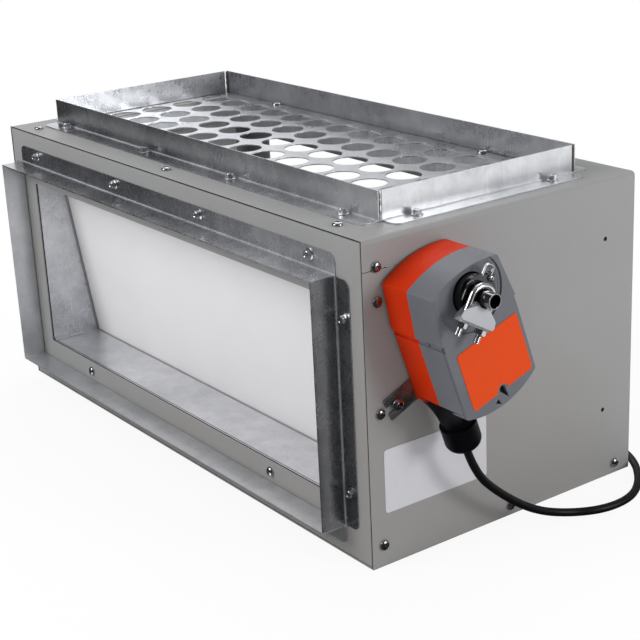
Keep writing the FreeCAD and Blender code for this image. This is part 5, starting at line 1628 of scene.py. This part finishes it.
@dataclass
class Actuator:
    """The spring-return actuator's housing, with its dial, label, boot and gland."""

    tilt: float = 19.0
    face: float = 362.0
    dial_depth: float = 1.5
    scale_radius: float = 24.6
    scale_width: float = 3.4
    scale_span: Pair = (-60.0, 35.0)
    scale_pitch: float = 5.0
    short_mark: float = 1.8
    mark_half: float = 0.14
    arc_width: float = 0.32
    print_height: float = 0.2
    well_depth: float = 3.0
    well_lift: float = 0.01
    well_thickness: float = 0.12
    half_width: float = 39.3
    step: float = 1.4
    step_drop: float = 25.0
    heel: float = 93.5
    housing_rim: float = 0.8
    groove_depth: float = 1.8
    groove_width: float = 0.3
    groove_reach: Pair = (-0.25, 0.08)
    drop_centre: Pair = (1.8, -89.8)
    drop_radius: float = 2.75
    drop_span: Pair = (24.0, 202.0)
    drop_tip: Pair = (5.4, -99.4)
    arrow: tuple[Pair, ...] = ((-8.0, -97.6), (-3.1, -100.8), (-4.7, -95.5))
    gland_place: Point = (331.0, -27.0, -137.6)
    seal: tuple[Pair, ...] = ((3.6, -1.2), (6.6, -0.6), (6.9, 0.6), (6.2, 1.5), (3.6, 1.9))

    def build(self) -> None:
        """Dresses the mouldings."""
        dress("actuator_base", ORANGE, self.housing_rim)
        dress("actuator_cover", GREY, self.housing_rim)
        dress("actuator_label", LABEL, rim=0.1)
        dress("conduit_fitting", BLACK, rim=0.8)
        dress("gland_nut", BLACK, rim=0.4)
        self.dial()
        self.wells()
        self.parting_line()
        self.gland_ring()

    def dial(self) -> None:
        """Raises the dial's arc and its angle marks on the dished floor round the hub."""
        inside, half = self.scale_radius, self.mark_half
        start, end = self.scale_span
        scale = Shape()
        for radius in (inside, inside + self.scale_width):
            outer = arc((0, 0), radius + self.arc_width / 2, start, end, 48)
            inner = arc((0, 0), radius - self.arc_width / 2, end, start, 48)
            scale.drawn(outer + inner, 0.0, self.print_height)
        for step in range(round(start / self.scale_pitch), round(end / self.scale_pitch) + 1):
            outside = inside + (self.short_mark if step % 3 else self.scale_width)
            mark = Shape()
            mark.drawn([(inside, -half), (outside, -half), (outside, half), (inside, half)], 0.0,
                       self.print_height)
            scale.add(mark, Matrix.Rotation(math.radians(step * self.scale_pitch), 4, "Z"))
        placed = scale.moved(about_tube(self.tilt) @ self.on_face(self.face - self.dial_depth))
        built("dial_scale", placed, PRINT_DARK, Body.CASING)

    def on_face(self, x: float) -> Matrix:
        """The turn that lays a piece drawn on XY onto the cover, its X towards +Y and its Y up."""
        laid = Matrix(((0, 0, 1, 0), (1, 0, 0, 0), (0, 1, 0, 0), (0, 0, 0, 1)))
        return Matrix.Translation((x, 0, 0)) @ laid

    def wells(self) -> None:
        """Darkens the floors of the release recess and of the small arrow under the label with painted shade.
        """
        drop = arc(self.drop_centre, self.drop_radius, *self.drop_span, 16) + [self.drop_tip]
        shape = Shape()
        for outline in (drop, self.arrow):
            shape.drawn(outline, self.well_lift, self.well_lift + self.well_thickness)
        placed = shape.moved(about_tube(self.tilt) @ self.on_face(self.face - self.well_depth))
        built("release_well_shade", placed, WELL_SHADE, Body.CASING)

    def parting_line(self) -> None:
        """Runs the fine groove shadow where the base meets the cover."""
        shape = Shape()
        edge = self.half_width - self.step
        high = self.face - self.groove_depth
        low = high - self.groove_width
        near, far = [edge + reach for reach in self.groove_reach]
        corners = [(low, near), (high, near), (high, far), (low, far)]
        levels = (1.0 - self.heel, -self.step_drop)
        for side in (-1, 1):
            shape.stack([[Vector((x, side * y, z)) for x, y in corners] for z in levels])
        placed = shape.moved(about_tube(self.tilt))
        built("cover_groove", placed, WELL_SHADE, Body.CASING)

    def gland_ring(self) -> None:
        """Sets the rubber seal in the gland's mouth, round the cable."""
        shape = Shape()
        shape.turned(self.seal)
        mouth = about_tube(self.tilt) @ Matrix.Translation(self.gland_place)
        placed = shape.moved(mouth @ Matrix.Rotation(math.pi, 4, "X"))
        built("gland_seal", placed, JACKET, Body.CASING, angle=60.0)


@dataclass
class HubClamp:
    """What turns with the tube in front of the cover: hub, ring, clamp and pointer."""

    clamp_turn: float = -30.0
    clamp_x: float = 375.0
    bore: float = TUBE_RADIUS + 0.1
    wire: float = 5.0
    leg_spacing: float = 21.0
    leg_end: float = 33.0
    thread_length: float = 14.0
    thread_steps: int = 90
    thread_depth: float = 0.2
    thread_runout: float = 1.2
    tip_chamfer: Pair = (0.3, 0.35)
    pitch: float = 0.8
    saddle_foot: float = 22.4
    nut_width: float = 8.0
    nut_height: float = 4.0
    nut_chamfer: float = 0.45
    nut_turns: Pair = (15.0, 65.0)
    screw_reach: float = 16.2
    screw_head: float = 5.5
    screw_height: float = 2.0
    ring_radius: float = 17.0
    ring_depth: float = 3.0
    ear_radius: float = 4.8
    ear_height: float = 2.9
    ear_chamfer: float = 0.3
    loop_width: float = 10.0
    loop_wire: float = 1.8
    loop_top: float = 25.5
    loop_bend: float = 2.2
    clip_front: float = 371.0

    def build(self) -> None:
        """Dresses the hub and the hardware."""
        dress("actuator_hub", HUB_GLOSS, rim=0.5)
        dress("clamp_saddle", STRAP_STEEL, rim=0.3)
        dress("position_plate", POINTER, rim=0.3)
        self.u_bolt()
        self.nuts()
        self.ring()
        self.loop()
        self.clip_screw()

    def u_bolt(self) -> None:
        """Bends the U-bolt over the tube, with rolled threads on its legs."""
        half = self.leg_spacing / 2
        radius = self.wire / 2
        crown = self.bore + radius - half
        thread_end = -self.leg_end + self.thread_length
        steps = self.thread_steps
        leg = [-self.leg_end + self.thread_length * step / steps for step in range(steps + 1)]
        leg += [thread_end + (crown - thread_end) * step / 8 for step in range(1, 9)]
        points = [Vector((self.clamp_x, -half, z)) for z in leg]
        points += [Vector((self.clamp_x, y, z)) for y, z in arc((0, crown), half, 180.0, 0.0, 28)[1:-1]]
        points += [Vector((self.clamp_x, half, z)) for z in reversed(leg)]
        length = sum((after - before).length for before, after in zip(points, points[1:]))
        tip, chamfer = self.tip_chamfer

        def thread(run: float, angle: float) -> float:
            """The leg's radius with its thread, tapered off where the thread ends."""
            from_end = min(run, length - run)
            fade = min(1.0, max(0.0, (self.thread_length - from_end) / self.thread_runout))
            phase = (from_end / self.pitch + angle / math.tau) % 1.0
            groove = self.thread_depth * fade * (1 - abs(2 * phase - 1))
            return radius - groove - (chamfer if from_end < tip else 0.0)

        shape = Shape()
        shape.swept(points, thread, 20)
        placed = shape.moved(about_tube(self.clamp_turn))
        built("u_bolt_detail", placed, BRIGHT, Body.BLADE, ["clamp_u_bolt"], angle=50.0)

    def nuts(self) -> None:
        """Sets the two chamfered nuts under the saddle."""
        nut = hexagon(self.nut_width, self.nut_height, self.nut_chamfer, self.wire / 2 + 0.05)
        foot = -self.saddle_foot - self.nut_height
        half = self.leg_spacing / 2
        shape = Shape()
        for y, turn in zip((-half, half), self.nut_turns):
            seat = Matrix.Translation((self.clamp_x, y, foot))
            shape.add(nut, seat @ Matrix.Rotation(math.radians(turn), 4, "Z"))
        placed = shape.moved(about_tube(self.clamp_turn))
        built("clamp_nuts_detail", placed, BRIGHT, Body.BLADE, ["clamp_nuts"])

    def clip_screw(self) -> None:
        """Sets the small cross-head screw on the retaining ring."""
        screw = SCREWS.pan_screw(self.screw_head, self.screw_height)
        placed = screw.moved(about_tube(self.clamp_turn) @ self.screw_seat(self.clip_front))
        built("clip_screw_detail", placed, SCREW_ZINC, Body.BLADE, ["clip_screw"])

    def screw_seat(self, x: float) -> Matrix:
        """The place of the ring's small screw at a distance along the tube, its head outward."""
        turn = math.radians(-self.clamp_turn / 2)
        seat = (x, self.screw_reach * math.sin(turn), self.screw_reach * math.cos(turn))
        return Matrix.Translation(seat) @ Facing.RIGHT.matrix()

    def ring(self) -> None:
        """Turns the grooved retaining ring, with its screw's ear."""
        bore, radius = self.bore, self.ring_radius
        profile = [(bore, 0.0), (radius - 0.1, 0.0), (radius, 0.15), (radius, 0.95), (radius - 0.7, 1.15),
                   (radius - 0.7, 1.65), (radius, 1.85), (radius, 2.6), (radius - 0.35, 2.95),
                   (bore + 3.4, 2.95), (bore + 2.7, 2.5), (bore + 0.25, 2.5), (bore, 2.25)]
        ring = Shape()
        ring.turned(profile, 72)
        ear = Shape()
        ear.drawn(arc((0, 0), self.ear_radius, 0.0, 352.5, 47), 0.0, self.ear_height, self.ear_chamfer)
        foot = self.clip_front - self.ring_depth
        shape = ring.moved(Matrix.Translation((foot, 0, 0)) @ Facing.RIGHT.matrix())
        shape.add(ear, self.screw_seat(foot))
        placed = shape.moved(about_tube(self.clamp_turn))
        built("retaining_ring", placed, RING_CHROME_DARK_REFLECTION, Body.BLADE, ["hub_clip"])

    def loop(self) -> None:
        """Bends the ring's wire loop, which stands up from its rim."""
        wire = self.loop_wire / 2
        half, top, bend = self.loop_width / 2 - wire, self.loop_top - wire, self.loop_bend
        foot = self.ring_radius
        path = [(-half, foot - bend), (-half, foot), (-half, top - bend)]
        path += arc((-half + bend, top - bend), bend, 180.0, 90.0, 8)[1:]
        path += arc((half - bend, top - bend), bend, 90.0, 0.0, 8)
        path += [(half, foot), (half, foot - bend)]
        shape = Shape()
        shape.swept([Vector((self.clip_front - wire, y, z)) for y, z in path], lambda run, angle: wire, 16)
        placed = shape.moved(about_tube(self.clamp_turn))
        built("ring_loop", placed, WIRE_ZINC, Body.BLADE, angle=60.0)


@dataclass
class StrapAndPlate:
    """The anti-rotation strap with its screw, and the blank nameplate."""

    strap_place: Point = (302.0, -128.1, 133.5)
    strap_lean: float = 24.0
    screw_rise: float = 9.3
    screw_turn: float = 20.0
    screw_head: float = 11.0
    screw_height: float = 4.5

    def build(self) -> None:
        """Dresses the strap, its screw and the plate."""
        dress("anti_rotation_strap", STRAP_STEEL, rim=0.3)
        dress("nameplate", NAMEPLATE, rim=0.1)
        screw = SCREWS.pan_screw(self.screw_head, self.screw_height)
        strap = Matrix.Translation(self.strap_place) @ Matrix.Rotation(math.radians(self.strap_lean), 4, "X")
        seat = strap @ Matrix.Translation((0, self.screw_rise, 0)) @ Facing.RIGHT.matrix()
        placed = screw.moved(seat @ Matrix.Rotation(math.radians(self.screw_turn), 4, "Z"))
        built("strap_screw_detail", placed, SCREW_ZINC, Body.CASING, ["strap_screw"])


def main() -> None:
    """Builds the damper in order."""
    parts = [Studio(), PowerCable(), Casing(), Throats(), Collars(), Blade(), Actuator(), HubClamp(),
             StrapAndPlate(), Fasteners()]
    for part in parts:
        LOG.info("making %s", type(part).__name__)
        part.build()
    LOG.info("sizes written")


if __name__ == "__main__":
    main()
